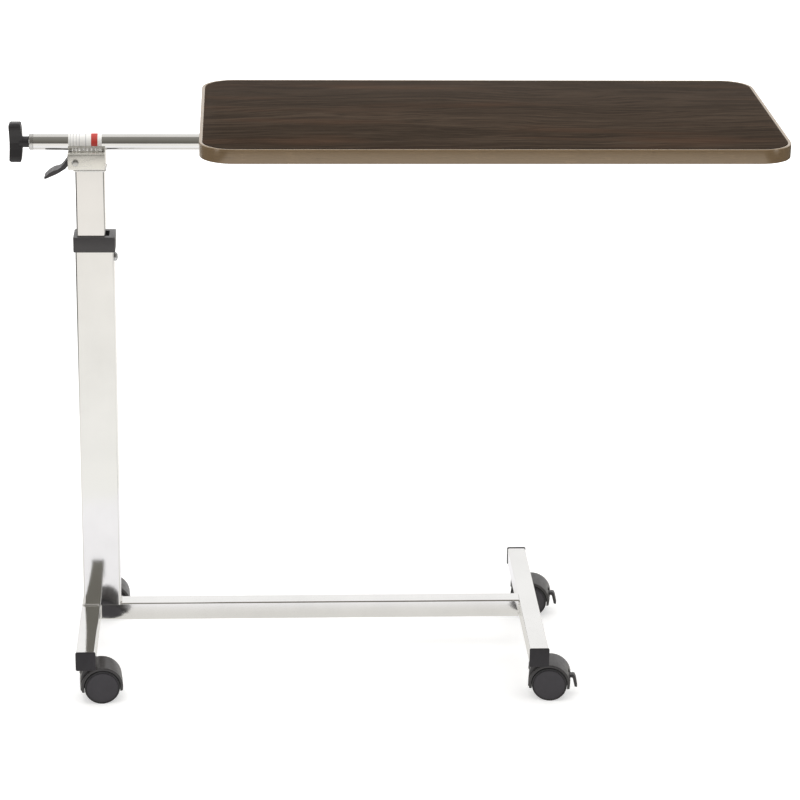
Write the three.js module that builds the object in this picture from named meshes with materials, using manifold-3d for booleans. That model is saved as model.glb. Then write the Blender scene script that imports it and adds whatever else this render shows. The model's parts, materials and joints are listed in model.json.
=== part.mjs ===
// Overbed table: H-shaped wheeled base, offset telescoping column with a gas spring,
// and a cantilevered rectangular top that tilts about a horizontal rail and is locked by a bar knob.
// Millimetres, +Z up, floor at z = 0, origin on the floor under the centre of the overall box.
// +X runs from the column towards the free end of the top, -Y faces the user.
import * as THREE from "three";
import { mergeVertices } from "three/addons/utils/BufferGeometryUtils.js";
import Module from "manifold-3d";

const wasm = await Module();
wasm.setup();

// ---------------------------------------------------------------- driving dimensions
const GAP = 0.3; // running and assembly gap

// casters
const WHEEL_R = 24; // wheel radius
const WHEEL_W = 15; // width of one wheel
const WHEEL_Y0 = 7.8; // inner face of a wheel, from the middle plane
const TRAIL = 19; // stem axis to axle axis
const HOOD_R = 28.6; // crown radius of the hood about the axle
const HOOD_HALF_W = 21.2; // half width of the hood
const WEB_HALF = 7; // half thickness of the web between the wheels
const STEM_R = 5;
const STEM_Y = 142; // stem axis from the middle of a foot
const SWIVEL = { front_left: 5, rear_left: 3, front_right: -7, rear_right: -8 }; // resting swivel, degrees

// base
const TUBE = 25.4; // square tube of the base
const WALL = 1.5;
const FOOT_Z = 58; // underside of the feet
const FOOT_TOP = FOOT_Z + TUBE;
const FOOT_HALF = 177; // half length of a foot tube, without end plugs
const FOOT_LEFT_X = -15.5;
const FOOT_RIGHT_X = 597.5;
const CAP = 27; // flange of an end plug
const CAP_T = 3;

// column
const COL_W = 50.8,
  COL_D = 38.1; // outer column
const COL_TOP = 597;
const COLLAR_W = 55.8,
  COLLAR_D = 43.1,
  COLLAR_TOP = 617.8;
const MAST_X = -4.2; // the mast sits off the middle of the column
const MAST_W = 38.1,
  MAST_D = 31.8;
const MAST_Z0 = 205,
  MAST_Z1 = 709.7;
const HEAD_X0 = -32.6,
  HEAD_X1 = 16.4,
  HEAD_D = 40,
  HEAD_Z0 = 710,
  HEAD_Z1 = 732.6,
  HEAD_T = 2.5;
const PIVOT_X = -22.6,
  PIVOT_Z = 720.4; // release lever pivot

// rail and tilt lock
const RAIL_Z = 744,
  RAIL_R = 11.1,
  RAIL_IN = 9.5;
const RAIL_X0 = -78,
  RAIL_X1 = 730;
const ROD_R = 4;

// top
const TOP_L = 762,
  TOP_D = 381,
  TOP_R = 44; // outline over the edge moulding
const TOP_X = 524; // centre of the top
const TOP_Z1 = 783.4,
  TOP_Z0 = 764.4; // upper and lower faces of the top
const EDGE_T = 4.5; // thickness of the edge moulding
const LAMINATE_T = 0.8;

// overall box, from the knob's end to the top's free end, sets the origin
const KNOB_X0 = -110;
const CENTRE_X = (KNOB_X0 + TOP_X + TOP_L / 2) / 2;

// ---------------------------------------------------------------- materials
const mat = (color, roughness, metalness) =>
  new THREE.MeshStandardMaterial({ color, roughness, metalness });
const M = {
  chrome: mat(0xd9d9d6, 0.12, 1),
  zinc: mat(0xb4b6b8, 0.35, 1),
  black_steel: mat(0x2b2b2d, 0.4, 0.8),
  plastic: mat(0x47464a, 0.5, 0),
  wheel: mat(0x454449, 0.45, 0),
  nylon: mat(0xe4e2da, 0.5, 0),
  brass: mat(0xb08d4a, 0.3, 1),
  walnut: mat(0x4b3f37, 0.45, 0),
  board: mat(0xa58a66, 0.9, 0),
  edging: mat(0x8d7a63, 0.4, 0),
  sticker: mat(0xf4f2ee, 0.5, 0),
  fibre: mat(0x8a4b32, 0.8, 0),
};

// ---------------------------------------------------------------- solids
// A closed three.js geometry as a manifold-3d solid.
function solid(geometry) {
  const g = geometry.index ? geometry.toNonIndexed() : geometry.clone();
  g.deleteAttribute("normal");
  g.deleteAttribute("uv");
  const merged = mergeVertices(g, 1e-4);
  const index = merged.index.array;
  const kept = [];
  for (let i = 0; i < index.length; i += 3) {
    const [a, b, c] = [index[i], index[i + 1], index[i + 2]];
    if (a !== b && b !== c && c !== a) kept.push(a, b, c);
  }
  let made = new wasm.Manifold(
    new wasm.Mesh({
      numProp: 3,
      vertProperties: new Float32Array(merged.attributes.position.array),
      triVerts: new Uint32Array(kept),
    }),
  );
  return made;
}
// A manifold-3d solid as a three.js geometry.
function geometryOf(made) {
  const m = made.getMesh();
  const n = m.numProp;
  const v = new Float32Array(m.numVert * 3);
  for (let i = 0; i < m.numVert; i++)
    v.set(m.vertProperties.subarray(i * n, i * n + 3), i * 3);
  const g = new THREE.BufferGeometry();
  g.setAttribute("position", new THREE.BufferAttribute(v, 3));
  g.setIndex(new THREE.BufferAttribute(new Uint32Array(m.triVerts), 1));
  g.computeVertexNormals();
  return g;
}
const union = (...s) => s.reduce((a, b) => a.add(b));
const cut = (a, ...s) => s.reduce((r, b) => r.subtract(b), a);

// Box from its lowest to its highest corner.
function block(x0, x1, y0, y1, z0, z1) {
  const g = new THREE.BoxGeometry(x1 - x0, y1 - y0, z1 - z0);
  g.translate((x0 + x1) / 2, (y0 + y1) / 2, (z0 + z1) / 2);
  return solid(g);
}
// Rounded rectangle outline, counter-clockwise, about its centre.
function roundRect(w, h, r, n) {
  const pts = [];
  const corners = [
    [w / 2 - r, h / 2 - r, 0],
    [-w / 2 + r, h / 2 - r, 90],
    [-w / 2 + r, -h / 2 + r, 180],
    [w / 2 - r, -h / 2 + r, 270],
  ];
  for (const [cx, cy, a0] of corners)
    for (let i = 0; i <= n; i++) {
      const a = ((a0 + (90 * i) / n) * Math.PI) / 180;
      pts.push(new THREE.Vector2(cx + r * Math.cos(a), cy + r * Math.sin(a)));
    }
  return pts;
}
// Outline in XY extruded from z0 to z1.
function prismZ(pts, z0, z1, holes = []) {
  const s = new THREE.Shape(pts);
  for (const h of holes) s.holes.push(new THREE.Path(h));
  const g = new THREE.ExtrudeGeometry(s, {
    depth: z1 - z0,
    bevelEnabled: false,
    steps: 1,
  });
  g.translate(0, 0, z0);
  return g;
}
// Outline in XZ extruded from y0 to y1.
function prismY(pts, y0, y1) {
  const g = prismZ(pts, -y1, -y0);
  g.rotateX(Math.PI / 2);
  return solid(g);
}
const xy = (list) => list.map(([a, b]) => new THREE.Vector2(a, b));
// Revolved outline [radius, height], about Z.
function lathe(points, n) {
  return new THREE.LatheGeometry(xy(points), n);
}
const aboutX = (g) => g.rotateZ(-Math.PI / 2); // lathe axis Y to X
const aboutY = (g) => g;
const aboutZ = (g) => g.rotateX(Math.PI / 2);
// Round bar between two stations along an axis.
function bar(axis, r, a, b, n = 20, at = [0, 0, 0]) {
  const pts = [
    [0, a],
    [r, a],
    [r, b],
    [0, b],
  ];
  const g =
    axis === "x"
      ? aboutX(lathe(pts, n))
      : axis === "y"
        ? aboutY(lathe(pts, n))
        : aboutZ(lathe(pts, n));
  g.translate(...at);
  return solid(g);
}
// Square or oblong tube along Z, with rounded corners.
function tubeZ(w, d, wall, r, z0, z1, n = 3) {
  return prismZ(roundRect(w, d, r, n), z0, z1, [
    roundRect(w - 2 * wall, d - 2 * wall, Math.max(r - wall, 0.4), n).reverse(),
  ]);
}

const root = new THREE.Group();
root.position.set(-CENTRE_X, 0, 0);
function part(parent, name, made, material, position = [0, 0, 0]) {
  const mesh = new THREE.Mesh(
    made.isBufferGeometry ? made : geometryOf(made),
    material,
  );
  mesh.name = name;
  mesh.position.set(...position);
  parent.add(mesh);
  return mesh;
}

// ---------------------------------------------------------------- base frame
const base = new THREE.Group();
root.add(base);

function footTube() {
  const g = tubeZ(TUBE, TUBE, WALL, 2, -FOOT_HALF, FOOT_HALF);
  g.rotateX(-Math.PI / 2); // along Y
  let s = solid(g);
  for (const y of [-STEM_Y, STEM_Y])
    s = cut(s, bar("z", 6, -TUBE, 0, 16, [0, y, 0]));
  return s;
}
const footMid = FOOT_Z + TUBE / 2;
part(base, "left_foot_tube", footTube(), M.chrome, [FOOT_LEFT_X, 0, footMid]);
part(base, "right_foot_tube", footTube(), M.chrome, [FOOT_RIGHT_X, 0, footMid]);

{
  const x0 = FOOT_LEFT_X + TUBE / 2 + 0.1,
    x1 = FOOT_RIGHT_X - TUBE / 2 - 0.1;
  const g = tubeZ(TUBE, TUBE, WALL, 2, x0, x1);
  g.rotateY(Math.PI / 2);
  part(base, "base_beam", solid(g), M.chrome, [0, 0, footMid]);
}

// End plug: square flange with a body that reaches over the caster stem and holds it.
function endPlug() {
  const flange = (() => {
    const g = prismZ(roundRect(CAP, CAP, 2, 3), 0, CAP_T);
    g.rotateX(Math.PI / 2); // outward face towards -Y
    g.translate(0, -FOOT_HALF - 0.1, 0);
    return solid(g);
  })();
  const half = TUBE / 2 - WALL - GAP;
  const body = block(-half, half, -FOOT_HALF - 0.2, -STEM_Y + 14, -half, half);
  return cut(union(flange, body), bar("z", STEM_R + GAP, -TUBE, 9, 16, [0, -STEM_Y, 0]));
}
for (const [side, x] of [
  ["left", FOOT_LEFT_X],
  ["right", FOOT_RIGHT_X],
]) {
  part(base, `end_plug_front_${side}`, endPlug(), M.plastic, [x, 0, footMid]);
  const g = new THREE.Group();
  g.position.set(x, 0, footMid);
  g.rotation.z = Math.PI;
  base.add(g);
  part(g, `end_plug_rear_${side}`, endPlug(), M.plastic);
}

// ---------------------------------------------------------------- outer column
{
  let s = solid(tubeZ(COL_W, COL_D, WALL, 2.5, FOOT_TOP + 0.1, COL_TOP, 4));
  s = cut(s, bar("x", 3, 15, 40, 16, [0, 0, COL_TOP - 11.6]));
  part(base, "outer_column", s, M.chrome);
}
// Collar: cap over the column's mouth with a sleeve inside that guides the mast.
{
  const cap = solid(
    prismZ(roundRect(COLLAR_W, COLLAR_D, 2.5, 4), COL_TOP + 0.2, COLLAR_TOP),
  );
  const inW = COL_W - 2 * WALL - 0.6,
    inD = COL_D - 2 * WALL - 0.6;
  const sleeve = block(-inW / 2, inW / 2, -inD / 2, inD / 2, COL_TOP - 37, COL_TOP + 1);
  const hw = MAST_W / 2 + GAP,
    hd = MAST_D / 2 + GAP;
  let s = union(cap, sleeve);
  s = cut(
    s,
    block(MAST_X - hw, MAST_X + hw, -hd, hd, COL_TOP - 40, COLLAR_TOP + 5),
    block(-40, MAST_X, -hd, hd, COL_TOP - 40, COL_TOP + 0.2),
    block(MAST_X, MAST_X + hw + 4.6, -12, 13, COLLAR_TOP - 14, COLLAR_TOP + 5),
    bar("x", 2.7, 10, 40, 16, [0, 0, COL_TOP - 11.6]),
  );
  part(base, "column_collar", s, M.plastic);
}
// Pan-head screw that holds the collar.
{
  const x = COL_W / 2;
  const g = aboutX(
    lathe(
      [
        [0, x - 8],
        [2.3, x - 8],
        [2.3, x + 0.2],
        [6, x + 0.2],
        [6, x + 2.6],
        [4.6, x + 4.2],
        [2.4, x + 4.9],
        [0, x + 5.0],
      ],
      16,
    ),
  );
  let s = solid(g);
  s = cut(
    s,
    block(x + 3.4, x + 6, -0.7, 0.7, -3.2, 3.2),
    block(x + 3.4, x + 6, -3.2, 3.2, -0.7, 0.7),
  );
  part(base, "collar_screw", s, M.zinc, [0, 0, COL_TOP - 11.6]);
}
// Plug at the foot of the column that carries the gas spring.
{
  const inW = COL_W - 2 * WALL - 0.6,
    inD = COL_D - 2 * WALL - 0.6;
  const z0 = FOOT_TOP + 0.4;
  let s = block(-inW / 2, inW / 2, -inD / 2, inD / 2, z0, z0 + 16);
  s = cut(s, bar("z", 13.3, z0 + 3, z0 + 20, 24, [MAST_X, 0, 0]));
  part(base, "column_base_plug", s, M.plastic);
}
// Gas spring body, fixed to the base, open at its gland.
const GS_Z0 = FOOT_TOP + 3.8,
  GS_Z1 = 530;
{
  const g = aboutZ(
    lathe(
      [
        [0, GS_Z0],
        [13, GS_Z0],
        [13, GS_Z1 - 2],
        [11.5, GS_Z1],
        [5.4, GS_Z1],
        [5.4, GS_Z1 - 20],
        [11.5, GS_Z1 - 20],
        [11.5, GS_Z0 + 3],
        [0, GS_Z0 + 3],
      ],
      24,
    ),
  );
  part(base, "gas_spring_cylinder", solid(g), M.black_steel, [MAST_X, 0, 0]);
}

// ---------------------------------------------------------------- mast and head
const mast = new THREE.Group();
root.add(mast);
{
  const g = tubeZ(MAST_W, MAST_D, WALL, 2.2, MAST_Z0, MAST_Z1, 4);
  part(mast, "mast_tube", solid(g), M.chrome, [MAST_X, 0, 0]);
}
{
  const inW = COL_W - 2 * WALL - 0.7,
    inD = COL_D - 2 * WALL - 0.7;
  const hw = MAST_W / 2 + GAP,
    hd = MAST_D / 2 + GAP;
  let s = block(-inW / 2, inW / 2, -inD / 2, inD / 2, MAST_Z0 - 10, MAST_Z0 + 40);
  s = cut(
    s,
    block(-40, MAST_X + hw, -hd, hd, MAST_Z0 - GAP, MAST_Z0 + 60),
    bar("z", 13.7, MAST_Z0 - 20, MAST_Z0 + 20, 24, [MAST_X, 0, 0]),
  );
  part(mast, "mast_lower_glide", s, M.nylon);
}
// Head: box of sheet steel, open towards the lever.
{
  const g = prismZ(
    roundRect(HEAD_D, HEAD_Z1 - HEAD_Z0, 2, 3),
    HEAD_X0,
    HEAD_X1,
  );
  g.rotateY(Math.PI / 2); // outline X to -Z
  g.rotateX(Math.PI / 2);
  g.translate(0, 0, (HEAD_Z0 + HEAD_Z1) / 2);
  let s = solid(g);
  s = cut(
    s,
    block(
      HEAD_X0 - 5,
      HEAD_X1 - HEAD_T,
      -HEAD_D / 2 + HEAD_T,
      HEAD_D / 2 - HEAD_T,
      HEAD_Z0 + HEAD_T,
      HEAD_Z1 - HEAD_T,
    ),
    bar("z", 4.4, HEAD_Z0 - 5, HEAD_Z0 + 6, 16, [MAST_X, 0, 0]),
    bar("y", 3.2, -30, 30, 16, [PIVOT_X, 0, PIVOT_Z]),
  );
  part(mast, "head_box", s, M.chrome);
}
// Gas spring rod with its piston, screwed into the head.
const PISTON_Z = 196;
{
  const g = aboutZ(
    lathe(
      [
        [0, PISTON_Z],
        [11, PISTON_Z],
        [11, PISTON_Z + 10],
        [5, PISTON_Z + 10],
        [5, HEAD_Z0 - 0.4],
        [4.1, HEAD_Z0 - 0.4],
        [4.1, HEAD_Z0 + 3.2],
        [2.2, HEAD_Z0 + 3.2],
        [2.2, HEAD_Z0 - 20],
        [0, HEAD_Z0 - 20],
      ],
      20,
    ),
  );
  part(mast, "gas_spring_rod", solid(g), M.zinc, [MAST_X, 0, 0]);
}
// Release pin, pushed into the rod by the lever.
part(
  mast,
  "release_pin",
  bar("z", 1.8, HEAD_Z0 - 13, PIVOT_Z - 2.8, 12),
  M.zinc,
  [MAST_X, 0, 0],
);
// Release lever: nose over the pin, pivot, and a paddle that hangs outside.
{
  const p = (x, z) => [x - PIVOT_X, z - PIVOT_Z];
  const nose = [];
  for (let i = 0; i <= 8; i++) {
    const a = ((90 - 22.5 * i) * Math.PI) / 180;
    nose.push([18.4 + 4 * Math.cos(a), 1.6 + 4 * Math.sin(a)]);
  }
  const inner = prismY(
    xy([
      [-9.7, -6.6],
      ...nose.slice(0, 9).reverse(),
      [4, 6.2],
      [-3, 6.0],
      [-9.7, 3.4],
    ]),
    -8,
    8,
  );
  // paddle profile, from the head's mouth to the tip
  const paddle = prismY(
    xy([
      p(-32.2, 713.8),
      p(-32.2, 723.6),
      p(-34.5, 721.4),
      p(-38.5, 716.0),
      p(-42.5, 711.4),
      p(-46.5, 709.2),
      p(-51.5, 708.0),
      p(-57.5, 704.6),
      p(-65.2, 697.6),
      p(-63.8, 695.8),
      p(-55.5, 699.4),
      p(-47, 703.2),
      p(-40, 706.8),
      p(-36, 709.4),
      p(-33.8, 712.2),
    ]),
    -13,
    13,
  );
  // the paddle is narrow in the mouth and full width outside
  const trim = union(
    block(-9.8, -9.0, -20, -8, -20, 20),
    block(-9.8, -9.0, 8, 20, -20, 20),
  );
  // outside the mouth it runs as a neck and then flares to its full width
  const flare = [1, -1].map((k) =>
    solid(
      prismZ(
        xy([
          [-24.6, k * 13.1],
          [-17.4, k * 9.4],
          [-9.0, k * 9.4],
          [-9.0, k * 20],
          [-24.6, k * 20],
        ]),
        -30,
        20,
      ),
    ),
  );
  let s = union(inner, cut(paddle, trim, ...flare));
  s = cut(s, bar("y", 3.2, -30, 30, 16));
  part(mast, "release_lever", s, M.plastic, [PIVOT_X, 0, PIVOT_Z]);
}
// Riveted pivot pin.
{
  const h = HEAD_D / 2 + GAP;
  const g = aboutY(
    lathe(
      [
        [0, -h - 1.8],
        [2.6, -h - 1.6],
        [4.6, -h - 0.4],
        [4.7, -h],
        [2.9, -h],
        [2.9, h],
        [4.7, h],
        [4.6, h + 0.4],
        [2.6, h + 1.6],
        [0, h + 1.8],
      ],
      16,
    ),
  );
  part(mast, "lever_pivot_pin", solid(g), M.zinc, [PIVOT_X, 0, PIVOT_Z]);
}
// Horizontal rail, welded to the head.
{
  const g = aboutX(
    lathe(
      [
        [RAIL_IN, RAIL_X0],
        [RAIL_R, RAIL_X0],
        [RAIL_R, RAIL_X1],
        [RAIL_IN, RAIL_X1],
        [RAIL_IN, RAIL_X0],
      ],
      28,
    ),
  );
  part(mast, "rail_tube", solid(g), M.chrome, [0, 0, RAIL_Z]);
}
{
  const x = RAIL_X0;
  const g = aboutX(
    lathe(
      [
        [4.4, x - 5.7],
        [10.4, x - 5.7],
        [RAIL_R, x - 5.0],
        [RAIL_R, x - 0.2],
        [9.1, x - 0.2],
        [9.1, x + 12],
        [4.4, x + 12],
        [4.4, x - 5.7],
      ],
      24,
    ),
  );
  part(mast, "rail_end_ferrule", solid(g), M.chrome, [0, 0, RAIL_Z]);
}
{
  const x = RAIL_X1;
  const g = aboutX(
    lathe(
      [
        [4.4, x - 12],
        [9.1, x - 12],
        [9.1, x + 0.2],
        [RAIL_R, x + 0.2],
        [RAIL_R, x + 2.8],
        [4.4, x + 2.8],
        [4.4, x - 12],
      ],
      24,
    ),
  );
  part(mast, "rail_thrust_plug", solid(g), M.zinc, [0, 0, RAIL_Z]);
}
// Blank self-adhesive label wrapped round the rail above the head.
{
  const N = 26,
    a0 = -38,
    a1 = 196;
  const r0 = RAIL_R / Math.cos((((a1 - a0) / N / 2) * Math.PI) / 180) + 0.05,
    r1 = r0 + 0.2;
  const pts = [];
  const at = (r, i) => {
    const a = ((a0 + ((a1 - a0) * i) / N) * Math.PI) / 180;
    return [r * Math.cos(a), r * Math.sin(a)];
  };
  for (let i = 0; i <= N; i++) pts.push(at(r1, i));
  for (let i = N; i >= 0; i--) pts.push(at(r0, i));
  // outline in (Y, Z), extruded along X
  const g = prismZ(xy(pts), -31.5, 12.5);
  g.rotateY(Math.PI / 2); // (x, y, z) -> (z, y, -x)
  g.rotateX(Math.PI / 2); // (z, x, y)
  part(mast, "rail_label", solid(g), M.sticker, [0, 0, RAIL_Z]);
}

// ---------------------------------------------------------------- tilting top
const top = new THREE.Group();
top.position.set(0, 0, RAIL_Z);
root.add(top);
const tz = (z) => z - RAIL_Z;

// Brackets, each screwed under the top and turning on the rail.
const LEFT_BR = [180, 222],
  RIGHT_BR = [686, 728];
const SCREW_Y = 50;
function bracket(x0, x1, endWall) {
  const mid = (x0 + x1) / 2;
  const px1 = endWall ? RAIL_X1 + 8.4 : x1 + 4;
  const plate = block(x0 - 4, px1, -62, 62, tz(TOP_Z0) - 3.2, tz(TOP_Z0) - 0.2);
  const web = block(x0, x1, -9, 9, 0, tz(TOP_Z0) - 2);
  let s = union(plate, web, bar("x", 15.4, x0, x1, 28));
  if (endWall) {
    const w0 = RAIL_X1 + 5.4,
      w1 = RAIL_X1 + 8.4;
    s = union(s, block(w0, w1, -18, 18, -15, tz(TOP_Z0) - 2));
  }
  s = cut(
    s,
    bar("x", 13.0, x0 - 10, x1 + 2, 28),
    bar("z", 2.7, 5, 30, 12, [mid, SCREW_Y, 0]),
    bar("z", 2.7, 5, 30, 12, [mid, -SCREW_Y, 0]),
  );
  if (endWall) s = cut(s, bar("x", 4.4, RAIL_X1, RAIL_X1 + 20, 16));
  return s;
}
part(top, "tilt_bracket_left", bracket(...LEFT_BR, false), M.zinc);
part(top, "tilt_bracket_right", bracket(...RIGHT_BR, true), M.zinc);
function bush(x0, x1) {
  return solid(
    aboutX(
      lathe(
        [
          [11.4, x0 - 1.8],
          [15.2, x0 - 1.8],
          [15.2, x0 - 0.3],
          [12.65, x0 - 0.3],
          [12.65, x1 - 0.3],
          [11.4, x1 - 0.3],
          [11.4, x0 - 1.8],
        ],
        24,
      ),
    ),
  );
}
part(top, "tilt_bush_left", bush(...LEFT_BR), M.nylon);
part(top, "tilt_bush_right", bush(...RIGHT_BR), M.nylon);
// Tie rod through the rail, its hexagon head behind the right bracket.
{
  const x = RAIL_X1;
  const rod = bar("x", ROD_R, -104.5, x + 9, 16);
  const head = bar("x", 7.6, x + 8.7, x + 15, 6);
  part(top, "tilt_tie_rod", union(rod, head), M.zinc);
}
{
  const x = RAIL_X1;
  const g = aboutX(
    lathe(
      [
        [4.4, x + 3.1],
        [13, x + 3.1],
        [13, x + 5.1],
        [4.4, x + 5.1],
        [4.4, x + 3.1],
      ],
      24,
    ),
  );
  part(top, "tilt_friction_washer", solid(g), M.fibre);
}
// Chipboard core, with a slot for the edge moulding's barb and pilot holes.
const CORE_Z0 = TOP_Z0,
  CORE_Z1 = TOP_Z1 - LAMINATE_T - 0.1;
const inset = EDGE_T + 0.1;
const BARB_Z = (TOP_Z0 + TOP_Z1) / 2;
{
  const outline = roundRect(TOP_L - 2 * inset, TOP_D - 2 * inset, TOP_R - inset, 8);
  let s = solid(prismZ(outline, tz(CORE_Z0), tz(CORE_Z1)));
  // slot all round, 2.2 high and 9 deep
  const d = 9;
  const ring = cut(
    solid(prismZ(roundRect(TOP_L + 20, TOP_D + 20, TOP_R, 8), tz(BARB_Z) - 1.1, tz(BARB_Z) + 1.1)),
    solid(
      prismZ(
        roundRect(TOP_L - 2 * (inset + d), TOP_D - 2 * (inset + d), TOP_R - inset - d, 8),
        tz(BARB_Z) - 2,
        tz(BARB_Z) + 2,
      ),
    ),
  );
  s = s.translate([TOP_X, 0, 0]);
  s = cut(s, ring.translate([TOP_X, 0, 0]));
  for (const [x0, x1] of [LEFT_BR, RIGHT_BR])
    for (const y of [-SCREW_Y, SCREW_Y])
      s = cut(s, bar("z", 2.3, tz(TOP_Z0) - 1, tz(TOP_Z0) + 14, 12, [(x0 + x1) / 2, y, 0]));
  part(top, "tabletop_core", s, M.board);
}
{
  const outline = roundRect(TOP_L - 2 * inset, TOP_D - 2 * inset, TOP_R - inset, 8);
  part(
    top,
    "tabletop_laminate",
    solid(prismZ(outline, tz(TOP_Z1) - LAMINATE_T, tz(TOP_Z1))),
    M.walnut,
    [TOP_X, 0, 0],
  );
}
// Edge moulding: T section swept round the outline.
{
  const h0 = tz(TOP_Z0),
    h1 = tz(TOP_Z1),
    b = tz(BARB_Z);
  // section as [inset from the outline, height]
  const section = [
    [0.6, h0],
    [EDGE_T, h0],
    [EDGE_T, b - 0.8],
    [EDGE_T + 7.5, b - 0.8],
    [EDGE_T + 7.5, b + 0.8],
    [EDGE_T, b + 0.8],
    [EDGE_T, h1],
    [0.9, h1],
    [0, h1 - 1.2],
    [0, h0 + 0.8],
  ];
  const rings = section.map(([d, z]) =>
    roundRect(TOP_L - 2 * d, TOP_D - 2 * d, TOP_R - d, 8).map((q) => [q.x, q.y, z]),
  );
  const n = rings[0].length,
    m = rings.length;
  const pos = [];
  for (let j = 0; j < m; j++)
    for (let i = 0; i < n; i++) pos.push(...rings[j][i]);
  const idx = [];
  for (let j = 0; j < m; j++)
    for (let i = 0; i < n; i++) {
      const a = j * n + i,
        bb = j * n + ((i + 1) % n),
        c = ((j + 1) % m) * n + i,
        d = ((j + 1) % m) * n + ((i + 1) % n);
      idx.push(a, c, bb, bb, c, d);
    }
  const g = new THREE.BufferGeometry();
  g.setAttribute("position", new THREE.Float32BufferAttribute(pos, 3));
  g.setIndex(idx);
  part(top, "edge_moulding", solid(g), M.edging, [TOP_X, 0, 0]);
}
// Pan-head wood screws through the brackets into the core.
{
  const z = tz(TOP_Z0) - 3.4;
  let k = 0;
  for (const [side, [x0, x1]] of [
    ["left", LEFT_BR],
    ["right", RIGHT_BR],
  ])
    for (const [end, y] of [
      ["front", -SCREW_Y],
      ["rear", SCREW_Y],
    ]) {
      const g = aboutZ(
        lathe(
          [
            [0, z - 2.8],
            [2.6, z - 2.6],
            [4.4, z - 1.2],
            [4.5, z],
            [2.1, z],
            [2.1, z + 13],
            [0, z + 16.4],
          ],
          12,
        ),
      );
      const s = cut(
        solid(g),
        block(-2.2, 2.2, -0.5, 0.5, z - 4, z - 1.5),
        block(-0.5, 0.5, -2.2, 2.2, z - 4, z - 1.5),
      );
      part(top, `bracket_screw_${side}_${end}`, s, M.zinc, [(x0 + x1) / 2, y, 0]);
    }
}

// ---------------------------------------------------------------- tilt lock knob
{
  const knob = new THREE.Group();
  knob.position.set(0, 0, RAIL_Z);
  root.add(knob);
  // bar body, waisted on its outer face, with rounded ends; outline in (X, Z)
  const H = 26.6;
  const body = prismY(
    xy([
      [-109.6, -H + 2.6],
      [-107.2, -H],
      [-95.4, -H],
      [-94.0, -H + 2.4],
      [-92.6, -12],
      [-92.3, 0],
      [-92.6, 12],
      [-94.0, H - 2.4],
      [-95.4, H],
      [-107.2, H],
      [-110.0, H - 2.6],
      [-109.4, 10],
      [-109.2, 0],
      [-109.4, -10],
    ].map(([x, z]) => [Math.max(x, KNOB_X0), z])),
    -10,
    10,
  );
  // waist seen along the axis: wide at the ends, narrower in the middle
  const face = [];
  for (const [sy, sz] of [
    [1, 1],
    [-1, -1],
  ])
    for (const [y, z] of sy > 0
      ? [
          [6.4, 0],
          [7.4, 9],
          [9.6, 18],
          [9.6, 22.5],
          [6.8, 26.6],
          [-6.8, 26.6],
          [-9.6, 22.5],
          [-9.6, 18],
          [-7.4, 9],
        ]
      : [
          [6.4, 0],
          [7.4, 9],
          [9.6, 18],
          [9.6, 22.5],
          [6.8, 26.6],
          [-6.8, 26.6],
          [-9.6, 22.5],
          [-9.6, 18],
          [-7.4, 9],
        ])
      face.push([y * sy, z * sz]);
  const g = prismZ(xy(face), -112, -90);
  g.rotateY(Math.PI / 2);
  g.rotateX(Math.PI / 2);
  const mask = solid(g);
  let s = body.intersect(mask);
  s = union(s, bar("x", 7.45, -95, -84.0, 20));
  s = cut(s, bar("x", 5.4, -106, -80, 16));
  part(knob, "tilt_knob", s, M.plastic);
  const ins = solid(
    aboutX(
      lathe(
        [
          [4.3, -105.6],
          [5.1, -105.6],
          [5.1, -84.1],
          [4.3, -84.1],
          [4.3, -105.6],
        ],
        16,
      ),
    ),
  );
  part(knob, "knob_insert", ins, M.brass);
}

// ---------------------------------------------------------------- casters
// Local frame: stem axis at x = y = 0, floor at z = 0, axle at x = TRAIL.
function hood(brake) {
  const AX = [TRAIL, 0, WHEEL_R];
  // crowned fender, revolved about the axle
  const crown = [
    [-1, 1.6],
    [-0.93, 0.3],
    [-0.4, 0],
    [0.4, 0],
    [0.93, 0.3],
    [1, 1.6],
  ];
  const prof = [[0, -HOOD_HALF_W]];
  for (const [k, drop] of crown) prof.push([HOOD_R - drop, k * HOOD_HALF_W]);
  prof.push([0, HOOD_HALF_W]);
  const dome = aboutY(lathe(prof, 24));
  dome.translate(...AX);
  // shoulder round the stem, in the side view
  const sh = prismY(
    xy(
      [
        [2, HOOD_R - 0.4],
        [-15, HOOD_R - 0.4],
        [-21.5, 27],
        [-26, 22.5],
        [-28.2, 14],
        [-29.2, 4],
        [-29.4, -6.6],
        [2, -6.6],
      ].map(([u, w]) => [u + TRAIL, w + WHEEL_R]),
    ).reverse(),
    -15.5,
    15.5,
  );
  let s = union(solid(dome), sh, bar("z", 9.6, 40, FOOT_Z - 2.7, 16));
  // open below a line from tip to tip
  s = cut(
    s,
    prismY(
      xy([
        [-20, -40],
        [60, -40],
        [60, WHEEL_R - 5.2],
        [TRAIL, WHEEL_R - 7.4],
        [-20, WHEEL_R - 6.4],
      ]),
      -40,
      40,
    ),
  );
  // room for the wheels
  for (const sgn of [-1, 1]) {
    const a = sgn > 0 ? WEB_HALF : -40,
      b = sgn > 0 ? 40 : -WEB_HALF;
    s = cut(s, bar("y", 24.9, a, b, 24, AX));
  }
  // axle bore and stem bore
  s = cut(s, bar("y", 3.3, -30, 30, 12, AX));
  s = cut(s, bar("z", STEM_R + GAP, 27, 80, 16));
  if (brake)
    s = cut(
      s,
      block(TRAIL + 12.5, TRAIL + 40, -5.6, 5.6, WHEEL_R - 10, WHEEL_R + 13.5),
    );
  return s;
}
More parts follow.
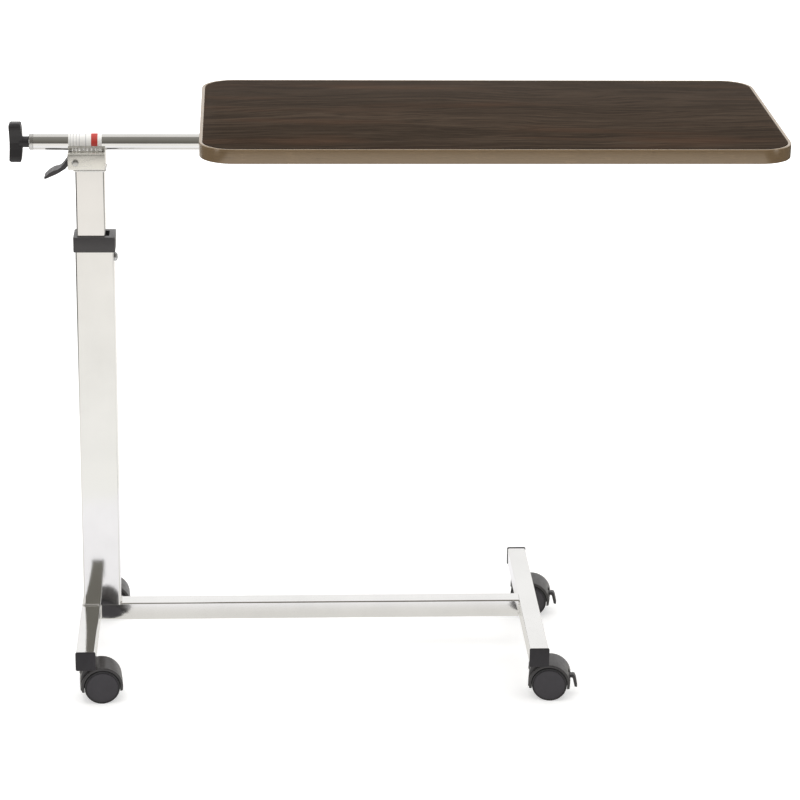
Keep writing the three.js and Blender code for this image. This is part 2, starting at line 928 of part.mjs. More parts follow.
function wheel(sgn) {
  // [radius, distance from the middle plane]
  const y0 = WHEEL_Y0,
    y1 = WHEEL_Y0 + WHEEL_W;
  const pts = [
    [0, y1 - 3.4],
    [3.3, y1 - 3.4],
    [3.3, y0],
    [6.4, y0],
    [6.4, y1 - 3.2],
    [20.6, y1 - 3.2],
    [20.6, y0],
    [WHEEL_R, y0],
    [WHEEL_R, y1 - 1.4],
    [22.8, y1],
    [0, y1],
  ];
  const g = lathe(sgn > 0 ? pts : pts.map(([r, y]) => [r, -y]).reverse(), 20);
  return solid(g);
}
function stem() {
  const F = FOOT_Z;
  return solid(
    aboutZ(
      lathe(
        [
          [0, 28.5],
          [STEM_R, 28.5],
          [STEM_R, F - 2.4],
          [8.6, F - 2.4],
          [8.6, F - 0.3],
          [STEM_R, F - 0.3],
          [STEM_R, F + 17.5],
          [3.4, F + 21],
          [0, F + 21],
        ],
        16,
      ),
    ),
  );
}
// Brake pedal of the right-hand casters.
const BRAKE_U = 19.5,
  BRAKE_W = 5; // pivot, from the axle
function brakePedal() {
  let s = prismY(
    xy(
      [
        [15.2, 1.6],
        [17, -0.2],
        [24, 2.2],
        [28.5, 4.2],
        [31.4, 3.6],
        [34.6, -9.4],
        [37.8, -9.8],
        [38.2, -8.2],
        [35.6, 4.0],
        [34.2, 7.6],
        [31.8, 8.8],
        [27, 8.4],
        [21, 8.8],
        [16, 8.4],
      ].map(([u, w]) => [u - BRAKE_U, w - BRAKE_W]),
    ),
    -5.2,
    5.2,
  );
  return s;
}
for (const [end, sy] of [
  ["front", -1],
  ["rear", 1],
])
  for (const [side, x] of [
    ["left", FOOT_LEFT_X],
    ["right", FOOT_RIGHT_X],
  ]) {
    const id = `${end}_${side}`;
    const braked = side === "right";
    const fixed = new THREE.Group();
    fixed.position.set(x, sy * STEM_Y, 0);
    root.add(fixed);
    part(fixed, `caster_stem_${id}`, stem(), M.zinc);
    const turn = new THREE.Group();
    turn.rotation.z = (SWIVEL[id] * Math.PI) / 180;
    fixed.add(turn);
    part(turn, `caster_hood_${id}`, hood(braked), M.plastic);
    part(turn, `caster_axle_${id}`, bar("y", 3, -19, 19, 12), M.zinc, [TRAIL, 0, WHEEL_R]);
    part(turn, `caster_wheel_${id}_a`, wheel(-1), M.wheel, [TRAIL, 0, WHEEL_R]);
    part(turn, `caster_wheel_${id}_b`, wheel(1), M.wheel, [TRAIL, 0, WHEEL_R]);
    if (braked)
      part(turn, `brake_pedal_${id}`, brakePedal(), M.plastic, [
        TRAIL + BRAKE_U,
        0,
        WHEEL_R + BRAKE_W,
      ]);
  }

export default root;
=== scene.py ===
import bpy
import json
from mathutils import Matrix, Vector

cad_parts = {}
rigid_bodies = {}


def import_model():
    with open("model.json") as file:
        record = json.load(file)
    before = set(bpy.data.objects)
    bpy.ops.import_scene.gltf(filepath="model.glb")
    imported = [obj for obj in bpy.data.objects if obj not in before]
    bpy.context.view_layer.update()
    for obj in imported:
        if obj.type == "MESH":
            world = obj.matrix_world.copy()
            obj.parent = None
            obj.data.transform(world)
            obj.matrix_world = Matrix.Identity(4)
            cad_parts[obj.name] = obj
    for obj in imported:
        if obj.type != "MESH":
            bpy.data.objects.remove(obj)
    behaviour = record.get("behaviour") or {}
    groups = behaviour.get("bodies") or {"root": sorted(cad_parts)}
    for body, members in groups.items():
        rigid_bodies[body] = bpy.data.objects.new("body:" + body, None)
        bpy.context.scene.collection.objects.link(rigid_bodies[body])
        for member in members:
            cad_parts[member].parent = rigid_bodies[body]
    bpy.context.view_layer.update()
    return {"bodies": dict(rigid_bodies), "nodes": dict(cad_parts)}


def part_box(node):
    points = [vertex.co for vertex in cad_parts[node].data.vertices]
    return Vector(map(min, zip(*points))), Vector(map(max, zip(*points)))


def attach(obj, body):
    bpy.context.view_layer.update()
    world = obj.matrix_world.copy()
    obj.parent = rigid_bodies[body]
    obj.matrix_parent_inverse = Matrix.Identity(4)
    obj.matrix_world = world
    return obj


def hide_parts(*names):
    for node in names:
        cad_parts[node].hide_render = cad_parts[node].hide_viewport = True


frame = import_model()

import json
import math

import bmesh
import bpy
from mathutils import Matrix, Vector, noise

# Lengths below are millimetres on a bench: column centre at x = y = 0, floor at z = 0, +X towards the free end of the top.
# ROW turns them into the row frame in metres.
CX = 397.5
ROW = Matrix.Translation((-CX / 1000, 0, 0)) @ Matrix.Scale(0.001, 4)
N = frame["nodes"]

# ------------------------------------------------------------------ camera
def make_camera():
    x, y, z = 0.2028, -3.75, 1.72
    yaw, pitch, roll = 0.0560, 0.3430, 0.0146
    f = Vector((math.sin(yaw) * math.cos(pitch), math.cos(yaw) * math.cos(pitch), -math.sin(pitch)))
    r = Vector((math.cos(yaw), -math.sin(yaw), 0))
    u = r.cross(f)
    c, s = math.cos(roll), math.sin(roll)
    r, u = c * r + s * u, -s * r + c * u
    cam = bpy.data.cameras.new("camera")
    cam.sensor_width = 36
    cam.lens = 2900 / 800 * 36
    cam.dof.use_dof = False
    o = bpy.data.objects.new("camera", cam)
    bpy.context.scene.collection.objects.link(o)
    m = Matrix((r, u, -f)).transposed().to_4x4()
    m.translation = Vector((x - CX / 1000, y, z))
    o.matrix_world = m
    bpy.context.scene.camera = o


make_camera()

# ------------------------------------------------------------------ node helpers
class Tree:
    def __init__(self, nt):
        self.nt = nt

    def node(self, kind, **kw):
        n = self.nt.nodes.new("ShaderNode" + kind)
        for k, v in kw.items():
            if k.startswith("_"):
                setattr(n, k[1:], v)
            else:
                self.put(n.inputs[k.replace("__", " ")], v)
        return n

    def put(self, sock, v):
        if isinstance(v, bpy.types.NodeSocket):
            self.nt.links.new(v, sock)
        elif isinstance(v, bpy.types.Node):
            self.nt.links.new(v.outputs[0], sock)
        else:
            sock.default_value = v

    def math(self, op, a, b=0.0, c=None, clamp=False):
        n = self.nt.nodes.new("ShaderNodeMath")
        n.operation = op
        n.use_clamp = clamp
        self.put(n.inputs[0], a)
        self.put(n.inputs[1], b)
        if c is not None:
            self.put(n.inputs[2], c)
        return n.outputs[0]

    def ramp(self, fac, stops, interp="LINEAR"):
        n = self.nt.nodes.new("ShaderNodeValToRGB")
        n.color_ramp.interpolation = interp
        e = n.color_ramp.elements
        while len(e) < len(stops):
            e.new(0.5)
        for el, (p, c) in zip(e, stops):
            el.position = p
            el.color = (c, c, c, 1) if isinstance(c, (int, float)) else (*c, 1)
        self.put(n.inputs[0], fac)
        return n.outputs[0]

    def coords(self, scale=(1, 1, 1), loc=(0, 0, 0), rot=(0, 0, 0)):
        t = self.nt.nodes.new("ShaderNodeTexCoord")
        m = self.nt.nodes.new("ShaderNodeMapping")
        m.inputs["Location"].default_value = loc
        m.inputs["Rotation"].default_value = rot
        m.inputs["Scale"].default_value = scale
        self.nt.links.new(t.outputs["Object"], m.inputs[0])
        return m.outputs[0]

    def noise(self, vec, scale, detail=4, rough=0.55, distort=0.0):
        n = self.node("TexNoise", Scale=scale, Detail=detail, Roughness=rough, Distortion=distort)
        self.put(n.inputs["Vector"], vec)
        return n.outputs["Fac"] if "Fac" in n.outputs else n.outputs[0]

    def mix(self, fac, a, b, mode="MIX"):
        n = self.nt.nodes.new("ShaderNodeMix")
        n.data_type = "RGBA"
        n.blend_type = mode
        self.put(n.inputs[0], fac)
        self.put(n.inputs[6], a)
        self.put(n.inputs[7], b)
        return n.outputs[2]

    def bump(self, height, strength, dist, normal=None):
        n = self.node("Bump", Strength=strength, Distance=dist)
        self.put(n.inputs["Height"], height)
        if normal is not None:
            self.put(n.inputs["Normal"], normal)
        return n.outputs[0]


def new_mat(name, colour, rough, metallic=0.0, **sockets):
    m = bpy.data.materials.new(name)
    m.use_nodes = True
    m.diffuse_color = (*colour, 1)
    b = m.node_tree.nodes["Principled BSDF"]
    b.inputs["Base Color"].default_value = (*colour, 1)
    b.inputs["Roughness"].default_value = rough
    b.inputs["Metallic"].default_value = metallic
    for k, v in sockets.items():
        b.inputs[k.replace("_", " ")].default_value = v
    return m, Tree(m.node_tree), b


def c4(c):
    return (*c, 1)


# ------------------------------------------------------------------ materials
def chrome(name, tint=(0.895, 0.89, 0.88), low=0.045, high=0.13, along=(1, 1, 1), dull=0.0, peelk=1.0, metal=1.0):
    """Bright chromium plate: faint clouds, polishing lines along the tube, orange peel."""
    m, t, b = new_mat(name, tint, low, metal)
    v = t.coords()
    cloud = t.noise(v, 9, 5, 0.6)
    dark = tuple(x * (0.93 - dull) for x in tint)
    col = t.ramp(cloud, [(0.30, dark), (0.62, tint)])
    t.put(b.inputs["Base Color"], col)
    lines = t.noise(t.coords(along), 260, 3, 0.6)
    smear = t.noise(v, 34, 6, 0.65, 0.4)
    r = t.math("MULTIPLY_ADD", t.math("MULTIPLY", smear, lines), (high - low) * 2.2, low, clamp=True)
    t.put(b.inputs["Roughness"], r)
    peel = t.noise(v, 420, 2, 0.5)
    n1 = t.bump(peel, 0.05 * peelk, 0.0002)
    n2 = t.bump(lines, 0.05 * peelk, 0.0002, n1)
    t.put(b.inputs["Normal"], n2)
    return m


def steel(name, tint, low, high, grain=(1, 1, 1), bump=0.12):
    """Zinc plated or drawn steel: satin, blotchy passivation, fine draw lines."""
    m, t, b = new_mat(name, tint, low, 1.0)
    v = t.coords()
    blotch = t.noise(v, 55, 6, 0.62, 0.3)
    t.put(b.inputs["Base Color"], t.ramp(blotch, [(0.32, tuple(x * 0.74 for x in tint)), (0.66, tint)]))
    lines = t.noise(t.coords(grain), 900, 4, 0.6)
    t.put(b.inputs["Roughness"], t.math("MULTIPLY_ADD", t.math("MULTIPLY", blotch, lines), (high - low) * 2.4, low, clamp=True))
    t.put(b.inputs["Normal"], t.bump(lines, bump, 0.0002))
    return m


def plastic(name, colour, rough, grain=1500, bump=0.18, worn=1.5, spec=0.5, streak=(1, 1, 1)):
    """Moulded plastic: spark-eroded grain, faint flow marks and scuffs."""
    m, t, b = new_mat(name, colour, rough, 0.0)
    b.inputs["Specular IOR Level"].default_value = spec
    v = t.coords()
    flow = t.noise(t.coords(streak), 28, 5, 0.6, 0.6)
    t.put(b.inputs["Base Color"], t.ramp(flow, [(0.28, tuple(x * 0.86 for x in colour)), (0.55, colour), (0.80, tuple(min(1, x * worn) for x in colour))]))
    scuff = t.noise(v, 190, 7, 0.7)
    t.put(b.inputs["Roughness"], t.math("MULTIPLY_ADD", t.ramp(scuff, [(0.40, 0.0), (0.66, 1.0)]), 0.16, rough - 0.05, clamp=True))
    g = t.node("TexVoronoi", Scale=grain)
    t.put(g.inputs["Vector"], v)
    n1 = t.bump(g.outputs["Distance"], bump, 0.00012)
    n2 = t.bump(flow, 0.05, 0.0006, n1)
    t.put(b.inputs["Normal"], n2)
    return m


def walnut():
    """Dark walnut print under a satin overlay: long straight grain with slow cathedral waves and pores."""
    m, t, b = new_mat("walnut_laminate", (0.052, 0.036, 0.027), 0.5, 0.0)
    b.inputs["Specular IOR Level"].default_value = 0.004
    # slow warp of the grain across the board
    base = t.coords()
    sep = t.node("SeparateXYZ")
    t.put(sep.inputs[0], base)
    x, y = sep.outputs[0], sep.outputs[1]
    w1 = t.noise(t.coords((1, 2.2, 1)), 2.1, 3, 0.5)
    w2 = t.noise(t.coords((1, 4, 1), (3.1, 1.7, 0)), 7.5, 3, 0.5)
    yw = t.math("ADD", y, t.math("ADD", t.math("MULTIPLY_ADD", w1, 0.16, -0.08), t.math("MULTIPLY_ADD", w2, 0.009, -0.0045)))

    def grain(kx, ky, scale, detail, rough, dist=0.0):
        c = t.node("CombineXYZ")
        t.put(c.inputs[0], t.math("MULTIPLY", x, kx))
        t.put(c.inputs[1], t.math("MULTIPLY", yw, ky))
        return t.noise(c.outputs[0], scale, detail, rough, dist)

    rings = grain(0.20, 4.4, 9, 6, 0.66, 0.18)
    broad = grain(0.16, 1.5, 9, 2, 0.5)
    fine = grain(0.5, 24, 16, 5, 0.72)
    pores = grain(0.9, 40, 26, 3, 0.6)
    warm = t.noise(t.coords((0.6, 3.2, 1), (5.3, 2.1, 0)), 5.2, 3, 0.55)
    body = t.ramp(rings, [(0.28, (0.0220, 0.0160, 0.0120)), (0.40, (0.0390, 0.0275, 0.0200)), (0.455, (0.0570, 0.0405, 0.0290)), (0.50, (0.0310, 0.0225, 0.0165)), (0.56, (0.0515, 0.0362, 0.0258)), (0.61, (0.0290, 0.0208, 0.0153)), (0.70, (0.0585, 0.0405, 0.0285))])
    body = t.mix(t.math("MULTIPLY", t.ramp(warm, [(0.52, 0.0), (0.70, 1.0)]), 0.60), body, c4((0.070, 0.0405, 0.0262)))
    veil = t.ramp(fine, [(0.34, 0.76), (0.50, 1.0), (0.70, 1.20)])
    body = t.mix(1.0, body, t.ramp(broad, [(0.34, 0.86), (0.66, 1.16)]), "MULTIPLY")
    col = t.mix(0.85, body, veil, "MULTIPLY")
    dots = t.ramp(pores, [(0.34, 0.45), (0.42, 1.0)])
    col = t.mix(0.40, col, dots, "MULTIPLY")
    t.put(b.inputs["Base Color"], col)
    t.put(b.inputs["Roughness"], t.math("MULTIPLY_ADD", fine, 0.16, 0.44, clamp=True))
    t.put(b.inputs["Normal"], t.bump(dots, 0.12, 0.0002, t.bump(t.noise(base, 1700, 2, 0.5), 0.06, 0.0001)))
    return m


def moulding():
    """Bronze-beige extruded edge strip: satin, with fine drawing lines along its length."""
    col = (0.268, 0.182, 0.098)
    m, t, b = new_mat("edge_moulding", col, 0.22, 0.15)
    b.inputs["Specular IOR Level"].default_value = 1.0
    b.inputs["Coat Weight"].default_value = 0.5
    b.inputs["Coat Roughness"].default_value = 0.12
    v = t.coords()
    lines = t.noise(t.coords((1, 1, 60)), 24, 5, 0.7)
    cloud = t.noise(v, 26, 5, 0.6, 0.5)
    mixv = t.math("MULTIPLY_ADD", lines, 0.55, t.math("MULTIPLY", cloud, 0.45))
    t.put(b.inputs["Base Color"], t.ramp(mixv, [(0.34, tuple(x * 0.70 for x in col)), (0.47, col), (0.52, tuple(x * 0.88 for x in col)), (0.66, tuple(x * 1.26 for x in col))]))
    t.put(b.inputs["Roughness"], t.math("MULTIPLY_ADD", cloud, 0.12, 0.16, clamp=True))
    t.put(b.inputs["Normal"], t.bump(lines, 0.10, 0.0002))
    return m


def backer():
    """Kraft-brown backing sheet under the board, with board edges that show as fine chips."""
    col = (0.115, 0.075, 0.048)
    m, t, b = new_mat("core_backing", col, 0.62, 0.0)
    v = t.coords()
    fibre = t.noise(t.coords((0.4, 1.6, 1)), 420, 5, 0.7)
    blot = t.noise(v, 11, 5, 0.6)
    a = t.ramp(blot, [(0.3, tuple(x * 0.82 for x in col)), (0.7, tuple(x * 1.15 for x in col))])
    t.put(b.inputs["Base Color"], t.mix(0.35, a, t.ramp(fibre, [(0.35, 0.55), (0.65, 1.25)]), "MULTIPLY"))
    t.put(b.inputs["Roughness"], t.math("MULTIPLY_ADD", fibre, 0.2, 0.5, clamp=True))
    t.put(b.inputs["Normal"], t.bump(fibre, 0.15, 0.0002))
    return m


def label_mat():
    """Blank coated label: one plain coloured band and pale rules, no lettering."""
    m, t, b = new_mat("rail_label", (0.86, 0.85, 0.83), 0.42, 0.0)
    sep = t.node("SeparateXYZ")
    t.put(sep.inputs[0], t.coords())
    x = t.math("ADD", t.math("MULTIPLY", sep.outputs[0], 1000.0), CX)  # bench millimetres
    base = t.ramp(t.noise(t.coords(), 160, 4, 0.6), [(0.3, (0.80, 0.79, 0.77)), (0.7, (0.88, 0.87, 0.85))])

    def band(x0, x1):
        return t.math("MULTIPLY", t.math("GREATER_THAN", x, x0), t.math("LESS_THAN", x, x1))

    col = t.mix(band(-1.5, 7.0), base, c4((0.50, 0.045, 0.035)))
    rules = t.math("ADD", t.math("ADD", band(-29.4, -28.6), band(-25.4, -24.6)), t.math("ADD", band(-21.4, -20.6), t.math("ADD", band(-17.4, -16.6), band(-9.2, -8.0))))
    col = t.mix(t.math("MULTIPLY", rules, 0.55), col, c4((0.33, 0.33, 0.35)))
    t.put(b.inputs["Base Color"], col)
    t.put(b.inputs["Normal"], t.bump(t.noise(t.coords(), 700, 3, 0.5), 0.06, 0.0001))
    t.put(b.inputs["Roughness"], t.math("MULTIPLY_ADD", t.noise(t.coords(), 90, 4, 0.6), 0.15, 0.34))
    return m


M = {
    "chrome_z": chrome("chrome_column", along=(1, 1, 0.05)),
    "chrome_x": chrome("chrome_rail", along=(0.05, 1, 1)),
    "chrome_y": chrome("chrome_foot", along=(1, 0.05, 1)),
    "chrome_satin": chrome("chrome_bracket", tint=(0.70, 0.685, 0.66), low=0.16, high=0.34, along=(0.2, 1, 1), dull=0.10),
    "chrome_head": chrome("chrome_head", peelk=0.5, tint=(0.93, 0.915, 0.865), low=0.15, high=0.34, along=(0.2, 1, 1), dull=0.05, metal=0.86),
    "chrome_weld": chrome("chrome_weld", tint=(0.92, 0.91, 0.89), low=0.08, high=0.20, dull=0.04, metal=0.75),
    "chrome_ferrule": steel("chrome_ferrule", (0.74, 0.735, 0.72), 0.16, 0.34, (1, 0.15, 0.15), 0.2),
    "zinc": steel("zinc_steel", (0.66, 0.67, 0.68), 0.22, 0.48),
    "zinc_z": steel("zinc_rod", (0.66, 0.67, 0.68), 0.16, 0.34, (1, 1, 0.05)),
    "plastic": plastic("dark_plastic", (0.056, 0.0530, 0.0570), 0.35),
    "cap": plastic("cap_plastic", (0.0250, 0.0226, 0.0265), 0.40, spec=0.40),
    "collar": plastic("collar_plastic", (0.071, 0.0675, 0.0705), 0.33, streak=(0.06, 1, 1)),
    "knob": plastic("knob_plastic", (0.0330, 0.0312, 0.0332), 0.37, spec=0.40),
    "hood": plastic("hood_plastic", (0.050, 0.047, 0.048), 0.34, bump=0.14, worn=1.4, spec=0.55),
    "wheel": plastic("wheel_plastic", (0.0430, 0.0395, 0.0475), 0.36, bump=0.10, worn=1.35),
    "tread": plastic("wheel_tread", (0.030, 0.029, 0.031), 0.58, grain=900, bump=0.25, worn=1.9),
    "nylon": plastic("nylon", (0.74, 0.72, 0.66), 0.45, bump=0.08, worn=1.06),
    "paint": plastic("black_paint", (0.022, 0.022, 0.024), 0.30, grain=700, bump=0.10, worn=1.5),
    "brass": steel("brass", (0.72, 0.52, 0.22), 0.20, 0.40),
    "fibre": plastic("fibre_washer", (0.27, 0.085, 0.045), 0.66, grain=2200, bump=0.25, worn=1.3),
    "walnut": walnut(),
    "moulding": moulding(),
    "backer": backer(),
    "label": label_mat(),
}

# ------------------------------------------------------------------ mesh helpers
AX = {"x": lambda a, b, h: (h, a, b), "y": lambda a, b, h: (a, h, b), "z": lambda a, b, h: (a, b, h)}


def rrect(w, h, r, n=6, cx=0.0, cy=0.0):
    r = min(r, w / 2 - 1e-4, h / 2 - 1e-4)
    out = []
    for sx, sy, a0 in ((1, 1, 0), (-1, 1, 90), (-1, -1, 180), (1, -1, 270)):
        for i in range(n + 1):
            a = math.radians(a0 + 90 * i / n)
            out.append((cx + sx * (w / 2 - r) + r * math.cos(a), cy + sy * (h / 2 - r) + r * math.sin(a)))
    return out


def rounded(pts, radius, n=4, closed=True):
    """Rounds each corner of a 2-D outline; a point may carry its own radius as a third number."""
    out = []
    k = len(pts)
    for i, p in enumerate(pts):
        r = p[2] if len(p) > 2 else radius
        P = Vector((p[0], p[1]))
        if (not closed and i in (0, k - 1)) or r <= 0:
            out.append((P.x, P.y))
            continue
        a, b = pts[(i - 1) % k], pts[(i + 1) % k]
        u, v = Vector((a[0], a[1])) - P, Vector((b[0], b[1])) - P
        lu, lv = u.length, v.length
        u.normalize()
        v.normalize()
        ang = math.acos(max(-1, min(1, u.dot(v))))
        if ang > math.pi - 0.02 or ang < 0.02:
            out.append((P.x, P.y))
            continue
        t = min(r / math.tan(ang / 2), 0.48 * lu, 0.48 * lv)
        r = t * math.tan(ang / 2)
        c = P + (u + v).normalized() * (r / math.sin(ang / 2))
        s, e = P + u * t - c, P + v * t - c
        tot = s.angle(e)
        sgn = 1 if s.x * e.y - s.y * e.x > 0 else -1
        for j in range(n + 1):
            q = sgn * tot * j / n
            out.append((c.x + s.x * math.cos(q) - s.y * math.sin(q), c.y + s.x * math.sin(q) + s.y * math.cos(q)))
    return out


def inset(loop, d):
    """Moves a closed outline inwards by d along its corner normals."""
    k = len(loop)
    area = sum(loop[i][0] * loop[(i + 1) % k][1] - loop[(i + 1) % k][0] * loop[i][1] for i in range(k))
    s = 1 if area > 0 else -1
    out = []
    for i in range(k):
        p, a, b = Vector(loop[i]), Vector(loop[i - 1]), Vector(loop[(i + 1) % k])
        e1, e2 = (p - a), (b - p)
        if e1.length < 1e-9 or e2.length < 1e-9:
            e1 = e2 = e1 if e1.length > e2.length else e2
        e1.normalize()
        e2.normalize()
        n = Vector((-e1.y, e1.x)) + Vector((-e2.y, e2.x))
        n.normalize()
        k2 = max(0.5, n.dot(Vector((-e1.y, e1.x))))
        q = p + n * (s * d / k2)
        out.append((q.x, q.y))
    return out


def rings_to_mesh(bm, rings, closed=False, cap=True):
    """Joins equal rings of 3-D points into a skin; ends are capped unless closed."""
    vs = [[bm.verts.new(p) for p in r] for r in rings]
    m = len(vs)
    for j in range(m if closed else m - 1):
        a, b = vs[j], vs[(j + 1) % m]
        k = len(a)
        for i in range(k):
            bm.faces.new((a[i], a[(i + 1) % k], b[(i + 1) % k], b[i]))
    if cap and not closed:
        bm.faces.new(list(reversed(vs[0])))
        bm.faces.new(vs[-1])
    return vs


def prism(bm, loop, axis, h0, h1, edge=0.5, seg=3):
    """Solid of a flat outline with rounded rims at both ends."""
    f = AX[axis]
    rings = []
    steps = [(edge * (1 - math.sin(math.pi / 2 * i / seg)), edge * (1 - math.cos(math.pi / 2 * i / seg))) for i in range(seg + 1)] if edge > 0 else [(0, 0)]
    for ins, dh in steps:
        rings.append([f(a, b, h0 + dh) for a, b in (inset(loop, ins) if ins > 1e-6 else loop)])
    for ins, dh in reversed(steps):
        rings.append([f(a, b, h1 - dh) for a, b in (inset(loop, ins) if ins > 1e-6 else loop)])
    rings_to_mesh(bm, rings)


def tube(bm, outer, inner, axis, h0, h1, lip=0.25):
    """Open-ended tube with a soft lip at both ends."""
    f = AX[axis]
    o1 = inset(outer, lip)
    rings = [
        [f(a, b, h0) for a, b in o1],
        [f(a, b, h0 + lip) for a, b in outer],
        [f(a, b, h1 - lip) for a, b in outer],
        [f(a, b, h1) for a, b in o1],
        [f(a, b, h1) for a, b in inner],
        [f(a, b, h0) for a, b in inner],
    ]
    rings_to_mesh(bm, rings, closed=True)


def lathe(bm, prof, axis, n=64, at=(0, 0, 0), closed=False, phase=0.0):
    """Revolves [radius, height] about an axis through at; closed joins the last point to the first."""
    f = AX[axis]
    at = Vector(at)
    rows = []
    for r, h in prof:
        if r < 1e-6:
            rows.append([bm.verts.new(Vector(f(0, 0, h)) + at)])
        else:
            rows.append([bm.verts.new(Vector(f(r * math.cos(2 * math.pi * (i + phase) / n), r * math.sin(2 * math.pi * (i + phase) / n), h)) + at) for i in range(n)])
    m = len(rows)
    for j in range(m if closed else m - 1):
        a, b = rows[j], rows[(j + 1) % m]
        for i in range(n):
            q = [a[i % len(a)], a[(i + 1) % len(a)], b[(i + 1) % len(b)], b[i % len(b)]]
            u = []
            for w in q:
                if w not in u:
                    u.append(w)
            if len(u) > 2:
                bm.faces.new(u)


def finish_mesh(bm, name, sharp=32, mats=(), recalc=True):
    if recalc:
        bmesh.ops.recalc_face_normals(bm, faces=bm.faces)
    me = bpy.data.meshes.new(name)
    bm.to_mesh(me)
    bm.free()
    shade(me, sharp)
    for x in mats:
        me.materials.append(x)
    return me


def shade(me, sharp):
    me.polygons.foreach_set("use_smooth", [True] * len(me.polygons))
    me.set_sharp_from_angle(angle=math.radians(sharp))


def add(name, me):
    o = bpy.data.objects.new(name, me)
    bpy.context.scene.collection.objects.link(o)
    return o


def temp(build):
    bm = bmesh.new()
    build(bm)
    return add("tmp", finish_mesh(bm, "tmp"))


def baked(o):
    dg = bpy.context.evaluated_depsgraph_get()
    me = bpy.data.meshes.new_from_object(o.evaluated_get(dg))
    old = o.data
    o.modifiers.clear()
    o.data = me
    bpy.data.meshes.remove(old)


def boolean(a, b, op="DIFFERENCE", keep=False):
    if not isinstance(b, bpy.types.Object):
        b = temp(b)
    m = a.modifiers.new("b", "BOOLEAN")
    m.operation, m.solver, m.object = op, "EXACT", b
    baked(a)
    if len(a.data.polygons) < 8:
        raise RuntimeError("a boolean came out empty")
    if not keep:
        me = b.data
        bpy.data.objects.remove(b)
        bpy.data.meshes.remove(me)
    return a


def open_edges(me):
    bm = bmesh.new()
    bm.from_mesh(me)
    n = sum(1 for e in bm.edges if len(e.link_faces) != 2)
    bm.free()
    return n


def bevel(o, width, seg=3, angle=35):
    """Rounds the sharp edges; a narrower rounding is tried where the wide one would tear the skin."""
    keep = o.data.copy()
    for k in (1.0, 0.7, 0.45, 0.25):
        m = o.modifiers.new("v", "BEVEL")
        m.width, m.segments, m.limit_method, m.angle_limit = width * k, seg, "ANGLE", math.radians(angle)
        m.use_clamp_overlap = True
        baked(o)
        bm = bmesh.new()
        bm.from_mesh(o.data)
        bmesh.ops.remove_doubles(bm, verts=bm.verts, dist=0.004)
        bm.to_mesh(o.data)
        bm.free()
        if not open_edges(o.data):
            return o
        o.data = keep.copy()
    return o


def piece(name, src, mats, body, nodes=(), sharp=32, place=None, row=True):
    """Turns a mesh, a builder or a bench object into a finished piece that rides on a body."""
    mats = mats if isinstance(mats, (list, tuple)) else [mats]
    if isinstance(src, bpy.types.Object):
        me = src.data.copy()
        bpy.data.objects.remove(src)
    elif isinstance(src, bpy.types.Mesh):
        me = src.copy()
    else:
        bm = bmesh.new()
        src(bm)
        me = finish_mesh(bm, name, sharp)
    if place is not None:
        me.transform(place)
    if row:
        me.transform(ROW)
    me.name = name
    if not me.materials:
        for x in mats:
            me.materials.append(x)
    shade(me, sharp)
    o = add(name, me)
    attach(o, body)
    if nodes:
        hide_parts(*nodes)
    return o


def bead(bm, path, r, pitch=2.6, closed=False, flat=1.0, seed=0, n=12, taper=True, ripple=0.2):
    """Weld bead: a tube along a path whose thickness ripples like laid-down metal."""
    pts = [Vector(p) for p in path]
    fine = []
    k = len(pts)
    for i in range(k if closed else k - 1):
        a, b = pts[i], pts[(i + 1) % k]
        c = max(1, int((b - a).length / 0.45))
        fine += [a.lerp(b, j / c) for j in range(c)]
    if not closed:
        fine.append(pts[-1])
    q = len(fine)
    s, rings = 0.0, []
    up = Vector((0, 0, 1))
    for i, p in enumerate(fine):
        t = (fine[(i + 1) % q] - fine[i - 1]) if closed else (fine[min(i + 1, q - 1)] - fine[max(i - 1, 0)])
        t.normalize()
        side = t.cross(up)
        if side.length < 0.2:
            side = t.cross(Vector((1, 0, 0)))
        side.normalize()
        v = side.cross(t).normalized()
        if i:
            s += (fine[i] - fine[i - 1]).length
        wob = noise.noise(Vector((s * 0.11, seed * 3.1, 0.5)))
        rr = r * (1.04 - ripple + ripple * abs(math.sin(math.pi * s / pitch)) + 0.22 * wob)
        if taper and not closed:
            rr *= min(1.0, 0.15 + min(i, q - 1 - i) * 0.45)
        off = 0.18 * r * noise.noise(Vector((s * 0.2, seed + 9.0, 2.0)))
        rings.append([p + side * (rr * math.cos(2 * math.pi * j / n) + off) + v * (rr * flat * math.sin(2 * math.pi * j / n)) for j in range(n)])
    rings_to_mesh(bm, rings, closed=closed, cap=not closed)


# ------------------------------------------------------------------ dimensions shared with the CAD
TUBE, FOOT_Z, FOOT_MID, FOOT_TOP, FOOT_HALF = 25.4, 58.0, 70.7, 83.4, 177.0
FOOT_X = {"left": -15.5, "right": 597.5}
MAST_X, RAIL_Z, RAIL_R = -4.2, 744.0, 11.1
TOP_X, TOP_Z0, TOP_Z1, TOP_L, TOP_D, TOP_R = 524.0, 764.4, 783.4, 762.0, 381.0, 44.0
WHEEL_R, TRAIL, STEM_Y = 24.0, 19.0, 142.0


def cyl(r, axis, h0, h1, at=(0, 0, 0), n=48, r2=None):
    return lambda bm: lathe(bm, [[0, h0], [r, h0], [r2 or r, h1], [0, h1]], axis, n, at)


def block(x0, x1, y0, y1, z0, z1):
    return lambda bm: prism(bm, [(x0, y0), (x1, y0), (x1, y1), (x0, y1)], "z", z0, z1, 0)


